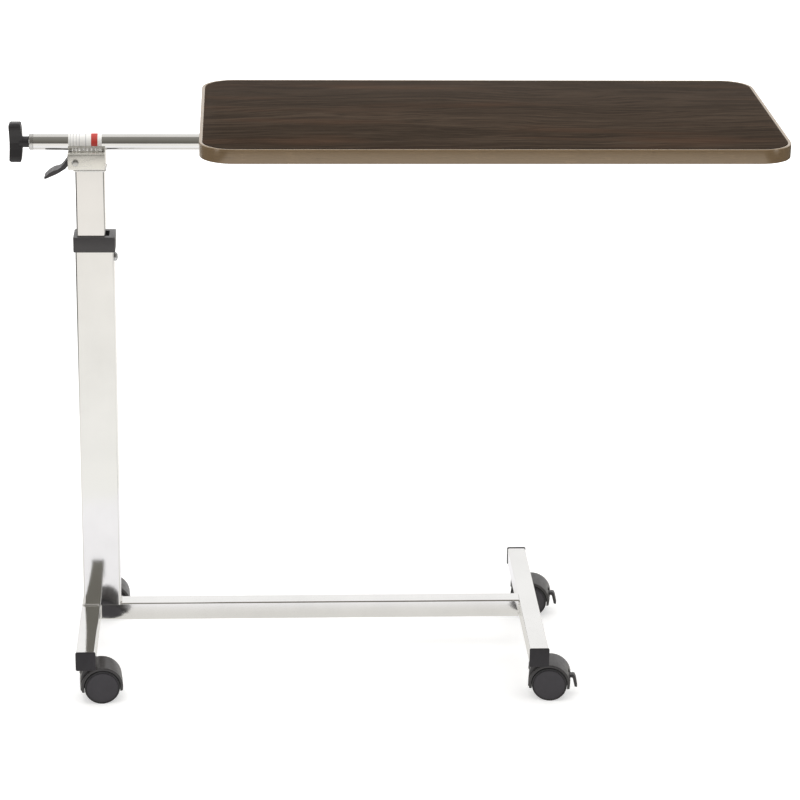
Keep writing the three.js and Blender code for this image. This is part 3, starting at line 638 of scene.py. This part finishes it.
# ------------------------------------------------------------------ base
def foot_piece(side):
    x = FOOT_X[side]
    o = temp(lambda bm: tube(bm, rrect(TUBE, TUBE, 2.0, 8, x, FOOT_MID), rrect(TUBE - 3, TUBE - 3, 0.8, 8, x, FOOT_MID), "y", -FOOT_HALF, FOOT_HALF))
    for y in (-STEM_Y, STEM_Y):
        boolean(o, cyl(6.0, "z", 50, 68, (x, y, 0)))
    piece(f"foot_tube_{side}", o, M["chrome_y"], "base", [f"{side}_foot_tube"])


foot_piece("left")
foot_piece("right")
piece("beam_tube", lambda bm: tube(bm, rrect(TUBE, TUBE, 2.0, 8, 0, FOOT_MID), rrect(TUBE - 3, TUBE - 3, 0.8, 8, 0, FOOT_MID), "x", -2.7, 584.7), M["chrome_x"], "base", ["base_beam"])

col = temp(lambda bm: tube(bm, rrect(50.8, 38.1, 2.5, 10), rrect(47.8, 35.1, 1.2, 10), "z", 83.5, 597.0))
boolean(col, cyl(3.0, "x", 15, 40, (0, 0, 585.4), 32))
piece("column_tube", col, M["chrome_z"], "base", ["outer_column"])


def plug_mesh():
    """End plug about the middle of its foot tube, outward face towards -Y."""
    half = TUBE / 2 - 1.5 - 0.3
    o = temp(lambda bm: prism(bm, rrect(27, 27, 2.2, 6), "y", -FOOT_HALF - 3.1, -FOOT_HALF - 0.1, 0.9, 4))
    boolean(o, lambda bm: prism(bm, rrect(2 * half, 2 * half, 0.8, 4), "y", -FOOT_HALF - 0.6, -STEM_Y + 14, 0.3, 2), "UNION")
    boolean(o, cyl(5.3, "z", -TUBE, 9, (0, -STEM_Y, 0)))
    me = o.data
    bpy.data.objects.remove(o)
    return me


plug = plug_mesh()
for side, x in FOOT_X.items():
    for end, a in (("front", 0), ("rear", math.pi)):
        piece(f"end_cap_{end}_{side}", plug, M["cap"], "base", [f"end_plug_{end}_{side}"], place=Matrix.Translation((x, 0, FOOT_MID)) @ Matrix.Rotation(a, 4, "Z"))

collar = temp(lambda bm: prism(bm, rrect(55.8, 43.1, 2.6, 8), "z", 597.2, 617.8, 0.55, 3))
boolean(collar, lambda bm: prism(bm, rrect(47.2, 34.5, 1.0, 4), "z", 560, 598, 0), "UNION")
boolean(collar, lambda bm: prism(bm, rrect(38.7, 32.4, 2.0, 6, MAST_X, 0), "z", 557, 622, 0))
boolean(collar, block(MAST_X, 19.75, -12, 13, 603.8, 622))
boolean(collar, cyl(2.7, "x", 10, 40, (0, 0, 585.4), 32))
piece("collar", collar, M["collar"], "base", ["column_collar"], sharp=28)

screw = temp(lambda bm: lathe(bm, [[0, 17.4], [2.3, 17.4], [2.3, 25.6], [5.7, 25.6], [6.0, 25.9], [6.0, 27.4], [5.7, 28.5], [4.9, 29.4], [3.6, 30.0], [1.9, 30.35], [0, 30.4]], "x", 48, (0, 0, 585.4)))
for w in ((0.7, 3.2), (3.2, 0.7)):
    boolean(screw, block(28.8, 32, -w[0], w[0], 585.4 - w[1], 585.4 + w[1]))
piece("collar_screw_head", screw, M["zinc"], "base", ["collar_screw"], sharp=28)

# ------------------------------------------------------------------ mast, head, rail
piece("inner_mast", lambda bm: tube(bm, rrect(38.1, 31.8, 2.3, 10, MAST_X, 0), rrect(35.1, 28.8, 1.0, 10, MAST_X, 0), "z", 205, 709.7), M["chrome_z"], "mast", ["mast_tube"])

head = temp(lambda bm: prism(bm, rrect(40, 22.6, 2.2, 6, 0, 721.3), "x", -32.6, 16.4, 0.5, 3))
boolean(head, lambda bm: prism(bm, rrect(35, 17.6, 0.8, 4, 0, 721.3), "x", -40, 13.9, 0))
boolean(head, cyl(4.4, "z", 700, 714, (MAST_X, 0, 0), 32))
boolean(head, cyl(3.2, "y", -30, 30, (-22.6, 0, 720.4), 32))
piece("head_box_shell", head, M["chrome_head"], "mast", ["head_box"], sharp=28)

piece("rail", lambda bm: lathe(bm, [[9.5, -77.9], [9.6, -78], [10.9, -78], [11.1, -77.8], [11.1, 729.8], [10.9, 730], [9.6, 730], [9.5, 729.9]], "x", 96, (0, 0, RAIL_Z), closed=True), M["chrome_x"], "mast", ["rail_tube"])
piece("rail_ferrule", lambda bm: lathe(bm, [[4.4, -83.6], [4.6, -83.7], [10.1, -83.7], [10.7, -83.4], [11.05, -82.8], [11.1, -82.2], [11.1, -78.5], [10.8, -78.2], [9.1, -78.2], [9.1, -66], [4.4, -66]], "x", 96, (0, 0, RAIL_Z), closed=True), M["chrome_ferrule"], "mast", ["rail_end_ferrule"])
piece("rail_plug_right", lambda bm: lathe(bm, [[4.4, 718], [9.1, 718], [9.1, 730.2], [10.8, 730.2], [11.1, 730.5], [11.1, 732.4], [10.7, 732.8], [4.4, 732.8]], "x", 96, (0, 0, RAIL_Z), closed=True), M["zinc"], "mast", ["rail_thrust_plug"])


def label_build(bm):
    a0, a1, r0, r1, c = -38.0, 196.0, 11.2, 11.39, 1.6
    arc = math.radians(a1 - a0) * r1
    steps, rings = [], []
    for i in range(7):
        steps.append(c * (1 - math.cos(math.pi / 2 * i / 6)))
    n = 70
    ds = steps + [c + (arc - 2 * c) * (i + 1) / (n + 1) for i in range(n)] + [arc - s for s in reversed(steps)]
    for d in ds:
        e = min(d, arc - d)
        ins = 0.0 if e >= c else c - math.sqrt(max(0.0, c * c - (c - e) ** 2))
        a = math.radians(a0) + d / r1
        cs, sn = math.cos(a), math.sin(a)
        rings.append([(x, r * cs, RAIL_Z + r * sn) for x, r in ((-31.5 + ins, r0), (-31.5 + ins, r1), (12.5 - ins, r1), (12.5 - ins, r0))])
    rings_to_mesh(bm, rings)


piece("blank_label", label_build, M["label"], "mast", ["rail_label"], sharp=50)

# release lever: paddle outside, nose over the pin inside
PX, PZ = -22.6, 720.4
paddle_side = [(-32.3, 713.9, 0.4), (-32.3, 723.5, 0.6), (-34.5, 721.4, 3), (-38.5, 716.0, 6), (-42.5, 711.4, 5), (-46.5, 709.2, 6), (-51.5, 708.0, 7), (-57.5, 704.6, 8), (-65.0, 697.7, 0.8), (-63.7, 696.0, 0.8), (-55.5, 699.5, 8), (-47, 703.3, 8), (-40, 706.9, 6), (-36, 709.5, 3), (-33.9, 712.3, 1)]
lever = temp(lambda bm: prism(bm, rounded(paddle_side, 1, 6), "y", -13, 13, 0))
boolean(lever, lambda bm: prism(bm, rounded([(-66, -12.95, 4.5), (-47.2, -12.95, 6), (-40, -9.35, 4), (-33.0, -9.35, 0.8), (-33.0, -7.9, 0), (-31, -7.9, 0), (-31, 7.9, 0), (-33.0, 7.9, 0), (-33.0, 9.35, 0.8), (-40, 9.35, 4), (-47.2, 12.95, 6), (-66, 12.95, 4.5)], 5, 8), "z", 690, 730, 0), "INTERSECT")
bevel(lever, 0.9, 4, 40)
nose = [(18.4 + 4 * math.cos(math.radians(90 - 22.5 * i)), 1.6 + 4 * math.sin(math.radians(90 - 22.5 * i))) for i in range(9)]
inner = [(-11.0, -6.4)] + list(reversed(nose)) + [(4, 6.0), (-3, 5.8), (-11.0, 2.2)]
boolean(lever, lambda bm: prism(bm, [(PX + a, PZ + b) for a, b in inner], "y", -8, 8, 0.5, 2), "UNION")
boolean(lever, cyl(3.2, "y", -30, 30, (PX, 0, PZ), 32))
piece("lever_paddle", lever, M["plastic"], "mast" if "release_lever" not in frame["bodies"] else "release_lever", ["release_lever"], sharp=28)

rivet = [[0, -22.1], [2.6, -22.04], [3.7, -21.8], [4.4, -21.3], [4.68, -20.7], [4.7, -20.3], [2.9, -20.3], [2.9, 20.3], [4.7, 20.3], [4.68, 20.7], [4.4, 21.3], [3.7, 21.8], [2.6, 22.04], [0, 22.1]]
piece("lever_rivet", lambda bm: lathe(bm, rivet, "y", 40, (PX, 0, PZ)), M["chrome_ferrule"], "mast", ["lever_pivot_pin"])


# welds
def welds_head(bm):
    for s, k in ((-1, 1), (1, 2)):
        bead(bm, [(-28, s * 8.3, 734.7), (-8, s * 8.1, 734.6), (12.5, s * 8.3, 734.7)], 2.9, 5.2, seed=k, ripple=0.4)
    loop = rrect(40.0, 33.7, 3.0, 4, MAST_X, 0)
    bead(bm, [(a, b, 709.1) for a, b in loop], 2.2, 4.0, closed=True, seed=5, ripple=0.4)


def welds_base(bm):
    z = 84.0
    bead(bm, [(-4.5, -19.8, z), (-24.6, -19.8, z), (-26.1, -18.6, z), (-26.1, 18.6, z), (-24.6, 19.8, z), (-4.5, 19.8, z)], 1.35, 2.6, seed=3)
    bead(bm, [(26.1, -10.8, z), (26.1, 10.8, z)], 1.35, 2.6, seed=4)
    for x, s, k in ((-2.8, 1, 6), (584.8, -1, 8)):
        for y in (-13.0, 13.0):
            bead(bm, [(x + s * 0.5, y, 60), (x + s * 0.5, y, 81.6)], 1.25, 2.5, seed=k)


piece("weld_head", welds_head, M["chrome_weld"], "mast", sharp=60)
piece("weld_base", welds_base, M["chrome_weld"], "base", sharp=60)

# ------------------------------------------------------------------ tilt lock
body_side = [(-109.9, -24.0, 1.6), (-107.4, -26.55, 1.6), (-95.2, -26.55, 1.4), (-93.9, -24.2, 3), (-92.6, -12, 8), (-92.35, 0, 8), (-92.6, 12, 8), (-93.9, 24.2, 3), (-95.2, 26.55, 1.4), (-107.4, 26.55, 1.6), (-109.9, 24.0, 1.6), (-109.4, 10, 10), (-109.25, 0, 10), (-109.4, -10, 10)]
knob = temp(lambda bm: prism(bm, rounded(body_side, 1, 6), "y", -10, 10, 0))
face = []
for s in (1, -1):
    face += [(y * s, z * s) for y, z in ((6.4, 0), (7.3, 9), (9.5, 18), (9.5, 22.5), (6.8, 26.6), (-6.8, 26.6), (-9.5, 22.5), (-9.5, 18), (-7.3, 9))]
boolean(knob, lambda bm: prism(bm, rounded([(a, b) for a, b in face], 6, 6), "x", -112, -90, 0), "INTERSECT")
bevel(knob, 1.1, 4, 40)
boolean(knob, cyl(7.45, "x", -96, -84.0, (0, 0, 0), 64), "UNION")
boolean(knob, cyl(5.4, "x", -106, -80, (0, 0, 0), 48))
piece("lock_knob", knob, M["knob"], "knob", ["tilt_knob"], sharp=28, place=Matrix.Translation((0, 0, RAIL_Z)))


def rod_build(bm):
    lathe(bm, [[0, -104.5], [3.6, -104.5], [4, -104.1], [4, 739], [0, 739]], "x", 40, (0, 0, RAIL_Z))


rod = temp(rod_build)
hexa = [(7.5 * math.cos(math.pi / 3 * i), RAIL_Z + 7.5 * math.sin(math.pi / 3 * i)) for i in range(6)]
boolean(rod, lambda bm: prism(bm, hexa, "x", 738.8, 745.0, 0.5, 2), "UNION")
piece("tie_rod", rod, M["zinc"], "top", ["tilt_tie_rod"], sharp=28)
piece("friction_washer", lambda bm: lathe(bm, [[4.4, 733.3], [4.6, 733.1], [12.8, 733.1], [13, 733.3], [13, 734.9], [12.8, 735.1], [4.6, 735.1], [4.4, 734.9]], "x", 72, (0, 0, RAIL_Z), closed=True), M["fibre"], "top", ["tilt_friction_washer"])


# ------------------------------------------------------------------ top
def core_build(bm):
    ins, n = 4.6, 24
    z1 = TOP_Z1 - 0.9
    levels = [(0.0, TOP_Z0), (0.0, 772.8), (9.0, 772.8), (9.0, 775.0), (0.0, 775.0), (0.0, z1)]
    rings_to_mesh(bm, [[(a, b, z) for a, b in rrect(TOP_L - 2 * (ins + d), TOP_D - 2 * (ins + d), TOP_R - ins - d, n, TOP_X, 0)] for d, z in levels])


core = temp(core_build)
for x in (201, 707):
    for y in (-50, 50):
        boolean(core, cyl(2.3, "z", 763, 778.4, (x, y, 0), 24))
piece("board_core", core, M["backer"], "top", ["tabletop_core"])
piece("laminate_sheet", lambda bm: prism(bm, rrect(TOP_L - 9.2, TOP_D - 9.2, TOP_R - 4.6, 24, TOP_X, 0), "z", TOP_Z1 - 0.8, TOP_Z1, 0.12, 2), M["walnut"], "top", ["tabletop_laminate"])


def moulding_build(bm):
    n, g = 24, 0.16
    b = (TOP_Z0 + TOP_Z1) / 2
    # from the inner lip over the crown, which leans in towards the laminate, to the outer face
    arc = [(3.3, TOP_Z1 - 0.30), (2.3, TOP_Z1 - 0.09), (1.6, TOP_Z1)] + [(1.25 * (1 - math.sin(math.pi / 2 * i / 6)), TOP_Z1 - 1.25 * (1 - math.cos(math.pi / 2 * i / 6))) for i in range(7)]
    low = [(0.8 * (1 - math.cos(math.pi / 2 * i / 5)), TOP_Z0 + 0.8 * (1 - math.sin(math.pi / 2 * i / 5))) for i in range(6)]
    section = [(4.5, TOP_Z1 - 0.72), (4.3, TOP_Z1 - 0.62)] + arc + low + [(4.5, TOP_Z0), (4.5, b - 0.8), (12.0, b - 0.8), (12.0, b + 0.8), (4.5, b + 0.8)]
    rows = []
    for d, z in section:
        w, h = TOP_L - 2 * d, TOP_D - 2 * d
        loop = rrect(w, h, TOP_R - d, n)
        k = 2 * (n + 1)
        pts = [(-w / 2, -g)] + loop[k:] + loop[:k] + [(-w / 2, g)]
        rows.append([(TOP_X + p[0], p[1], z) for p in pts])
    rings = [[rows[j][i] for j in range(len(rows))] for i in range(len(rows[0]))]
    rings_to_mesh(bm, rings)


piece("edge_strip", moulding_build, M["moulding"], "top", ["edge_moulding"], sharp=40)


def bracket(side, x0, x1, wall):
    px1 = 738.4 if wall else x1 + 4
    z0 = TOP_Z0 - 3.2
    a0 = math.degrees(math.acos(9 / 15.4))
    key = [(-9, z0 + 0.6), (-9, z0 - 2.0)] + [(15.4 * math.cos(math.radians(a)), RAIL_Z + 15.4 * math.sin(math.radians(a))) for a in [180 - a0 + (180 + 2 * a0) * i / 72 for i in range(73)]] + [(9, z0 - 2.0), (9, z0 + 0.6)]
    o = temp(lambda bm: prism(bm, key, "x", x0, x1, 0.35, 2))
    boolean(o, cyl(13.0, "x", x0 - 10, x1 + 2, (0, 0, RAIL_Z), 96))
    boolean(o, lambda bm: prism(bm, rrect(px1 - x0 + 4, 124, 5, 6, (x0 - 4 + px1) / 2, 0), "z", z0, z0 + 3.0, 0.4, 2), "UNION")
    if wall:
        end = temp(lambda bm: prism(bm, rounded([(-18, RAIL_Z - 15, 12), (18, RAIL_Z - 15, 12), (18, z0 + 1, 0), (-18, z0 + 1, 0)], 10, 8), "x", 735.4, 738.35, 0.3, 2))
        boolean(end, cyl(4.4, "x", 730, 750, (0, 0, RAIL_Z), 40))
        boolean(o, end, "UNION")
    for y in (-50, 50):
        boolean(o, cyl(2.7, "z", 755, 770, ((x0 + x1) / 2, y, 0), 24))
    piece(f"bracket_{side}", o, M["chrome_satin"], "top", [f"tilt_bracket_{side}"], sharp=28)
    piece(f"bush_{side}", lambda bm: lathe(bm, [[11.4, x0 - 1.6], [11.6, x0 - 1.8], [15.0, x0 - 1.8], [15.2, x0 - 1.6], [15.2, x0 - 0.5], [15.0, x0 - 0.3], [12.65, x0 - 0.3], [12.65, x1 - 0.3], [11.4, x1 - 0.3]], "x", 96, (0, 0, RAIL_Z), closed=True), M["nylon"], "top", [f"tilt_bush_{side}"])

    def weld(bm):
        for s in (-1, 1):
            bead(bm, [(x0 + 2, s * 9.6, z0 - 0.5), (x1 - 2, s * 9.6, z0 - 0.5)], 1.3, 2.5, seed=11 + s)
    piece(f"weld_bracket_{side}", weld, M["chrome_weld"], "top", sharp=60)


bracket("left", 180, 222, False)
bracket("right", 686, 728, True)

zs = TOP_Z0 - 3.4
ws = temp(lambda bm: lathe(bm, [[0, zs - 2.8], [1.4, zs - 2.75], [2.7, zs - 2.45], [3.8, zs - 1.75], [4.4, zs - 0.8], [4.5, zs - 0.15], [4.35, zs], [2.1, zs], [2.1, zs + 13], [0, zs + 16.4]], "z", 40))
for w in ((2.2, 0.5), (0.5, 2.2)):
    boolean(ws, block(-w[0], w[0], -w[1], w[1], zs - 4, zs - 1.5))
ws_me = ws.data
bpy.data.objects.remove(ws)
for side, x in (("left", 201), ("right", 707)):
    for end, y in (("front", -50), ("rear", 50)):
        piece(f"plate_screw_{side}_{end}", ws_me, M["zinc"], "top", [f"bracket_screw_{side}_{end}"], sharp=28, place=Matrix.Translation((x, y, 0)))

# ------------------------------------------------------------------ casters
def hood_mesh(brake):
    A = (TRAIL, 0, WHEEL_R)
    H, R = 21.2, 28.6
    prof = [[0, -H], [R - 1.7, -H]]
    for i in range(1, 7):
        t = math.pi / 2 * i / 6
        prof.append([R - 1.7 + 1.4 * math.sin(t), -H + 1.5 * (1 - math.cos(t))])
    prof += [[R - 0.08, -10], [R, 0], [R - 0.08, 10]]
    prof += [[r, -h] for r, h in reversed(prof[1:8])] + [[0, H]]
    o = temp(lambda bm: lathe(bm, prof, "y", 112, A))
    side = [(2, 28.0, 0), (-15, 28.0, 7), (-21.5, 26.8, 6), (-26, 22.4, 6), (-28.1, 14, 8), (-29.1, 4, 8), (-29.3, -6.5, 1), (2, -6.5, 0)]
    shoulder = temp(lambda bm: prism(bm, [(a + TRAIL, b + WHEEL_R) for a, b in rounded(side, 4, 6)], "y", -15.5, 15.5, 0))
    bevel(shoulder, 2.4, 5, 60)
    boolean(o, shoulder, "UNION")
    boolean(o, lambda bm: lathe(bm, [[0, 38], [10.8, 38], [10.2, 52.0], [9.7, 53.4], [9.6, 55.0], [9.3, 55.3], [0, 55.3]], "z", 64), "UNION")
    boolean(o, lambda bm: prism(bm, [(-20, -40), (60, -40), (60, WHEEL_R - 5.2), (TRAIL, WHEEL_R - 7.4), (-20, WHEEL_R - 6.4)], "y", -40, 40, 0))
    for a, b in ((7, 40), (-40, -7)):
        boolean(o, cyl(24.9, "y", a, b, A, 112))
    boolean(o, cyl(3.3, "y", -30, 30, A, 32))
    boolean(o, cyl(5.3, "z", 27, 80, (0, 0, 0), 48))
    if brake:
        boolean(o, block(TRAIL + 12.5, TRAIL + 40, -5.6, 5.6, WHEEL_R - 10, WHEEL_R + 13.5))
    bevel(o, 0.35, 2, 55)
    me = o.data
    bpy.data.objects.remove(o)
    return me


def wheel_mesh(s):
    y0, y1 = 7.8, 22.8
    pts = [[0, y1 - 3.4], [3.3, y1 - 3.4], [3.3, y0 + 0.2], [3.5, y0], [6.2, y0], [6.4, y0 + 0.2], [6.4, y1 - 3.2], [20.6, y1 - 3.2], [20.6, y0 + 0.3], [20.9, y0], [23.2, y0]]
    pts += [[23.2 + 0.8 * math.sin(t), y0 + 0.8 * (1 - math.cos(t))] for t in [math.pi / 2 * i / 4 for i in range(1, 5)]]
    pts += [[22.8 + 1.2 * math.cos(t), y1 - 1.5 + 1.2 * math.sin(t)] for t in [math.pi / 2 * i / 5 for i in range(6)]]
    pts += [[22.0, y1 - 0.28], [21.7, y1 - 0.9], [21.3, y1 - 0.9], [21.05, y1 - 0.1], [20.8, y1]]
    pts += [[20.0, y1], [19.5, y1 - 0.12], [12, y1 - 0.2], [0, y1 - 0.2]]
    if s < 0:
        pts = [[r, -y] for r, y in pts]
    bm = bmesh.new()
    lathe(bm, pts, "y", 96)
    me = finish_mesh(bm, "wheel", 35)
    me.materials.append(M["wheel"])
    me.materials.append(M["tread"])
    for p in me.polygons:
        c = p.center
        if math.hypot(c.x, c.z) > 21.6:
            p.material_index = 1
    return me


pedal_side = [(15.2, 1.8), (17, 0.0), (24, 2.3), (28.5, 4.3), (31.4, 3.7), (34.6, -9.3), (37.7, -9.7), (38.1, -8.2), (35.6, 4.0), (34.1, 7.5), (31.8, 8.7), (29.9, 8.35), (29.5, 7.9), (29.0, 8.3), (27.6, 8.35), (27.2, 7.9), (26.7, 8.35), (25.2, 8.5), (24.8, 8.0), (24.3, 8.5), (21, 8.7), (16, 8.3)]


def pedal_build(bm):
    prism(bm, rounded([(a + TRAIL, b + WHEEL_R) for a, b in pedal_side], 0.6, 4), "y", -5.2, 5.2, 0.7, 3)


HOOD = {True: hood_mesh(True), False: hood_mesh(False)}
WHEEL = {"a": wheel_mesh(-1), "b": wheel_mesh(1)}
STEM = [[0, 28.5], [4.7, 28.5], [5, 28.8], [5, 55.6], [8.3, 55.6], [8.6, 55.9], [8.6, 57.4], [8.3, 57.7], [5, 57.7], [5, 75.5], [4.6, 77.2], [3.6, 78.6], [0, 79]]
for end, sy in (("front", -1), ("rear", 1)):
    for side, x in FOOT_X.items():
        k = f"{end}_{side}"
        lo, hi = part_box(f"caster_axle_{k}")
        dx = (lo[0] + hi[0]) / 2 * 1000 + CX - x
        dy = (lo[1] + hi[1]) / 2 * 1000 - sy * STEM_Y
        turn = Matrix.Translation((x, sy * STEM_Y, 0)) @ Matrix.Rotation(math.atan2(dy, dx), 4, "Z")
        br = side == "right"
        piece(f"stem_{k}", lambda bm: lathe(bm, STEM, "z", 56), M["zinc_z"], "base", [f"caster_stem_{k}"], place=Matrix.Translation((x, sy * STEM_Y, 0)))
        piece(f"hood_{k}", HOOD[br], M["hood"], f"caster_{k}", [f"caster_hood_{k}"], sharp=30, place=turn)
        for w in ("a", "b"):
            piece(f"wheel_{k}_{w}", WHEEL[w], [], f"wheel_{k}_{w}", [f"caster_wheel_{k}_{w}"], sharp=35, place=turn @ Matrix.Translation((TRAIL, 0, WHEEL_R)))
        if br:
            piece(f"pedal_{k}", pedal_build, M["plastic"], f"brake_{k}", [f"brake_pedal_{k}"], sharp=30, place=turn)

# ------------------------------------------------------------------ CAD nodes that stay: the insides
INSIDE = {
    "column_base_plug": "plastic", "gas_spring_cylinder": "paint", "gas_spring_rod": "zinc_z", "release_pin": "zinc", "mast_lower_glide": "nylon", "knob_insert": "brass",
    "caster_axle_front_left": "zinc", "caster_axle_front_right": "zinc", "caster_axle_rear_left": "zinc", "caster_axle_rear_right": "zinc",
}
for n, m in INSIDE.items():
    for s in N[n].material_slots:
        s.material = M[m]

# ------------------------------------------------------------------ floor and light
def floor():
    bm = bmesh.new()
    s = 14
    vs = [bm.verts.new((x, y, 0)) for x, y in ((-s, -s), (s, -s), (s, s), (-s, s))]
    bm.faces.new(vs)
    me = bpy.data.meshes.new("floor")
    bm.to_mesh(me)
    bm.free()
    o = add("floor", me)
    m, t, b = new_mat("floor", (0.74, 0.74, 0.74), 0.9)
    b.inputs["Specular IOR Level"].default_value = 0.0
    # what the plated steel and the bounce light see is painted, not lit: for all but camera rays the floor glows with a
    # white sweep, a painted bright pool close by, ending in painted darkness at the sides and far in front
    sep = t.node("SeparateXYZ")
    t.put(sep.inputs[0], t.coords())
    x, y = sep.outputs[0], sep.outputs[1]
    d = t.math("POWER", t.math("ADD", t.math("POWER", t.math("ADD", x, 0.35), 2.0), t.math("POWER", y, 2.0)), 0.5)
    # painted light: the floor's glow is brightest within about 0.62 m of the column and dims further out
    painted_floor_light = t.ramp(t.math("DIVIDE", d, 4.0), [(0.155, (0.98, 0.97, 0.985)), (0.161, (0.945, 0.94, 0.905)), (0.42, (0.935, 0.915, 0.87)), (0.60, (0.92, 0.885, 0.835)), (0.98, (0.70, 0.68, 0.65))])
    # painted shadow: the floor's glow is darkened in a band along the beam (|y| below 0.14 m, fading out by 0.30 m),
    # standing in for the shade under the beam and the top
    low = t.node("MapRange", _interpolation_type="SMOOTHSTEP")
    for i, v in enumerate((t.math("ABSOLUTE", y), 0.14, 0.30, 1.0, 0.0)):
        t.put(low.inputs[i], v)
    painted_floor_light = t.mix(t.math("MULTIPLY", low.outputs[0], 0.9), painted_floor_light, c4((0.74, 0.725, 0.685)))
    # painted shade: edge and far dim the floor's glow to about 0.13 at the sides and 0.16 far in front, standing in for
    # a dark room; dark below is that glow strength
    edge = t.node("MapRange", _interpolation_type="SMOOTHSTEP")
    for i, v in enumerate((t.math("ABSOLUTE", x), 1.25, 1.9, 1.0, 0.13)):
        t.put(edge.inputs[i], v)
    far = t.node("MapRange", _interpolation_type="SMOOTHSTEP")
    for i, v in enumerate((y, -5.5, -3.4, 0.16, 1.0)):
        t.put(far.inputs[i], v)
    dark = t.math("MULTIPLY", edge.outputs[0], far.outputs[0])
    painted_floor_glow = t.node("Emission")
    t.put(painted_floor_glow.inputs[0], painted_floor_light)
    t.put(painted_floor_glow.inputs[1], dark)
    # the sweep runs out to plain white away from the object, so no horizon shows
    away = t.node("MapRange", _interpolation_type="SMOOTHSTEP")
    for i, v in enumerate((t.math("POWER", t.math("ADD", t.math("POWER", x, 2.0), t.math("POWER", y, 2.0)), 0.5), 1.3, 3.2, 0.50, 1.25)):
        t.put(away.inputs[i], v)
    lift = t.node("Emission", Color=(1, 1, 1, 1))
    t.put(lift.inputs[1], away.outputs[0])
    seen = t.node("AddShader")
    t.nt.links.new(b.outputs[0], seen.inputs[0])
    t.nt.links.new(lift.outputs[0], seen.inputs[1])
    lp = t.node("LightPath")
    mix = t.node("MixShader")
    t.put(mix.inputs[0], lp.outputs["Is Camera Ray"])
    t.nt.links.new(painted_floor_glow.outputs[0], mix.inputs[1])
    t.nt.links.new(seen.outputs[0], mix.inputs[2])
    under = t.node("MixShader")
    t.put(under.inputs[0], t.node("NewGeometry").outputs["Backfacing"])
    t.nt.links.new(mix.outputs[0], under.inputs[1])
    t.nt.links.new(t.node("BsdfTransparent").outputs[0], under.inputs[2])
    t.nt.links.new(under.outputs[0], t.nt.nodes["Material Output"].inputs[0])
    me.materials.append(m)


floor()


def world():
    """A white wall behind and overhead, and a dark room behind the camera."""
    w = bpy.data.worlds.new("studio")
    bpy.context.scene.world = w
    w.use_nodes = True
    t = Tree(w.node_tree)
    bg = w.node_tree.nodes["Background"]
    tc = t.node("TexCoord")
    sep = t.node("SeparateXYZ")
    t.put(sep.inputs[0], tc.outputs["Generated"])
    back = t.node("MapRange", _interpolation_type="SMOOTHSTEP")
    for i, v in enumerate((sep.outputs[1], -0.13, -0.01, 0.0, 1.0)):
        t.put(back.inputs[i], v)
    room = t.ramp(sep.outputs[2], [(0.0, (0.135, 0.128, 0.112)), (0.35, (0.17, 0.162, 0.142)), (0.85, (0.235, 0.228, 0.205)), (1.0, (0.27, 0.26, 0.24))])
    wall = t.ramp(sep.outputs[2], [(0.0, (0.99, 0.985, 0.98)), (0.55, (0.97, 0.965, 0.955)), (1.0, (0.76, 0.745, 0.71))])
    sky = t.mix(back.outputs[0], room, wall)
    lp = t.node("LightPath")
    t.put(bg.inputs[0], t.mix(lp.outputs["Is Camera Ray"], sky, c4((1, 1, 1))))
    bg.inputs[1].default_value = 1.0


world()


def area(name, size, at, target, watts, colour=(1, 1, 1), size_y=None, gloss=True):
    d = bpy.data.lights.new(name, "AREA")
    d.energy, d.color, d.size = watts, colour, size
    if size_y:
        d.shape, d.size_y = "RECTANGLE", size_y
    o = bpy.data.objects.new(name, d)
    bpy.context.scene.collection.objects.link(o)
    o.location = at
    o.rotation_euler = (Vector(target) - Vector(at)).to_track_quat("-Z", "Y").to_euler()
    o.visible_glossy = gloss


area("softbox_top", 3.4, (0.1, -0.5, 3.2), (0, 0, 0), 80, gloss=False)
area("strip_left", 0.7, (-2.4, -1.6, 1.3), (0, 0, 0.5), 7, size_y=2.0)
area("strip_right", 0.7, (2.5, -1.4, 1.3), (0, 0, 0.5), 6, size_y=2.0)

vs = bpy.context.scene.view_settings
vs.view_transform = "Standard"
vs.look = "None"
vs.exposure = 0.0
vs.gamma = 1.0
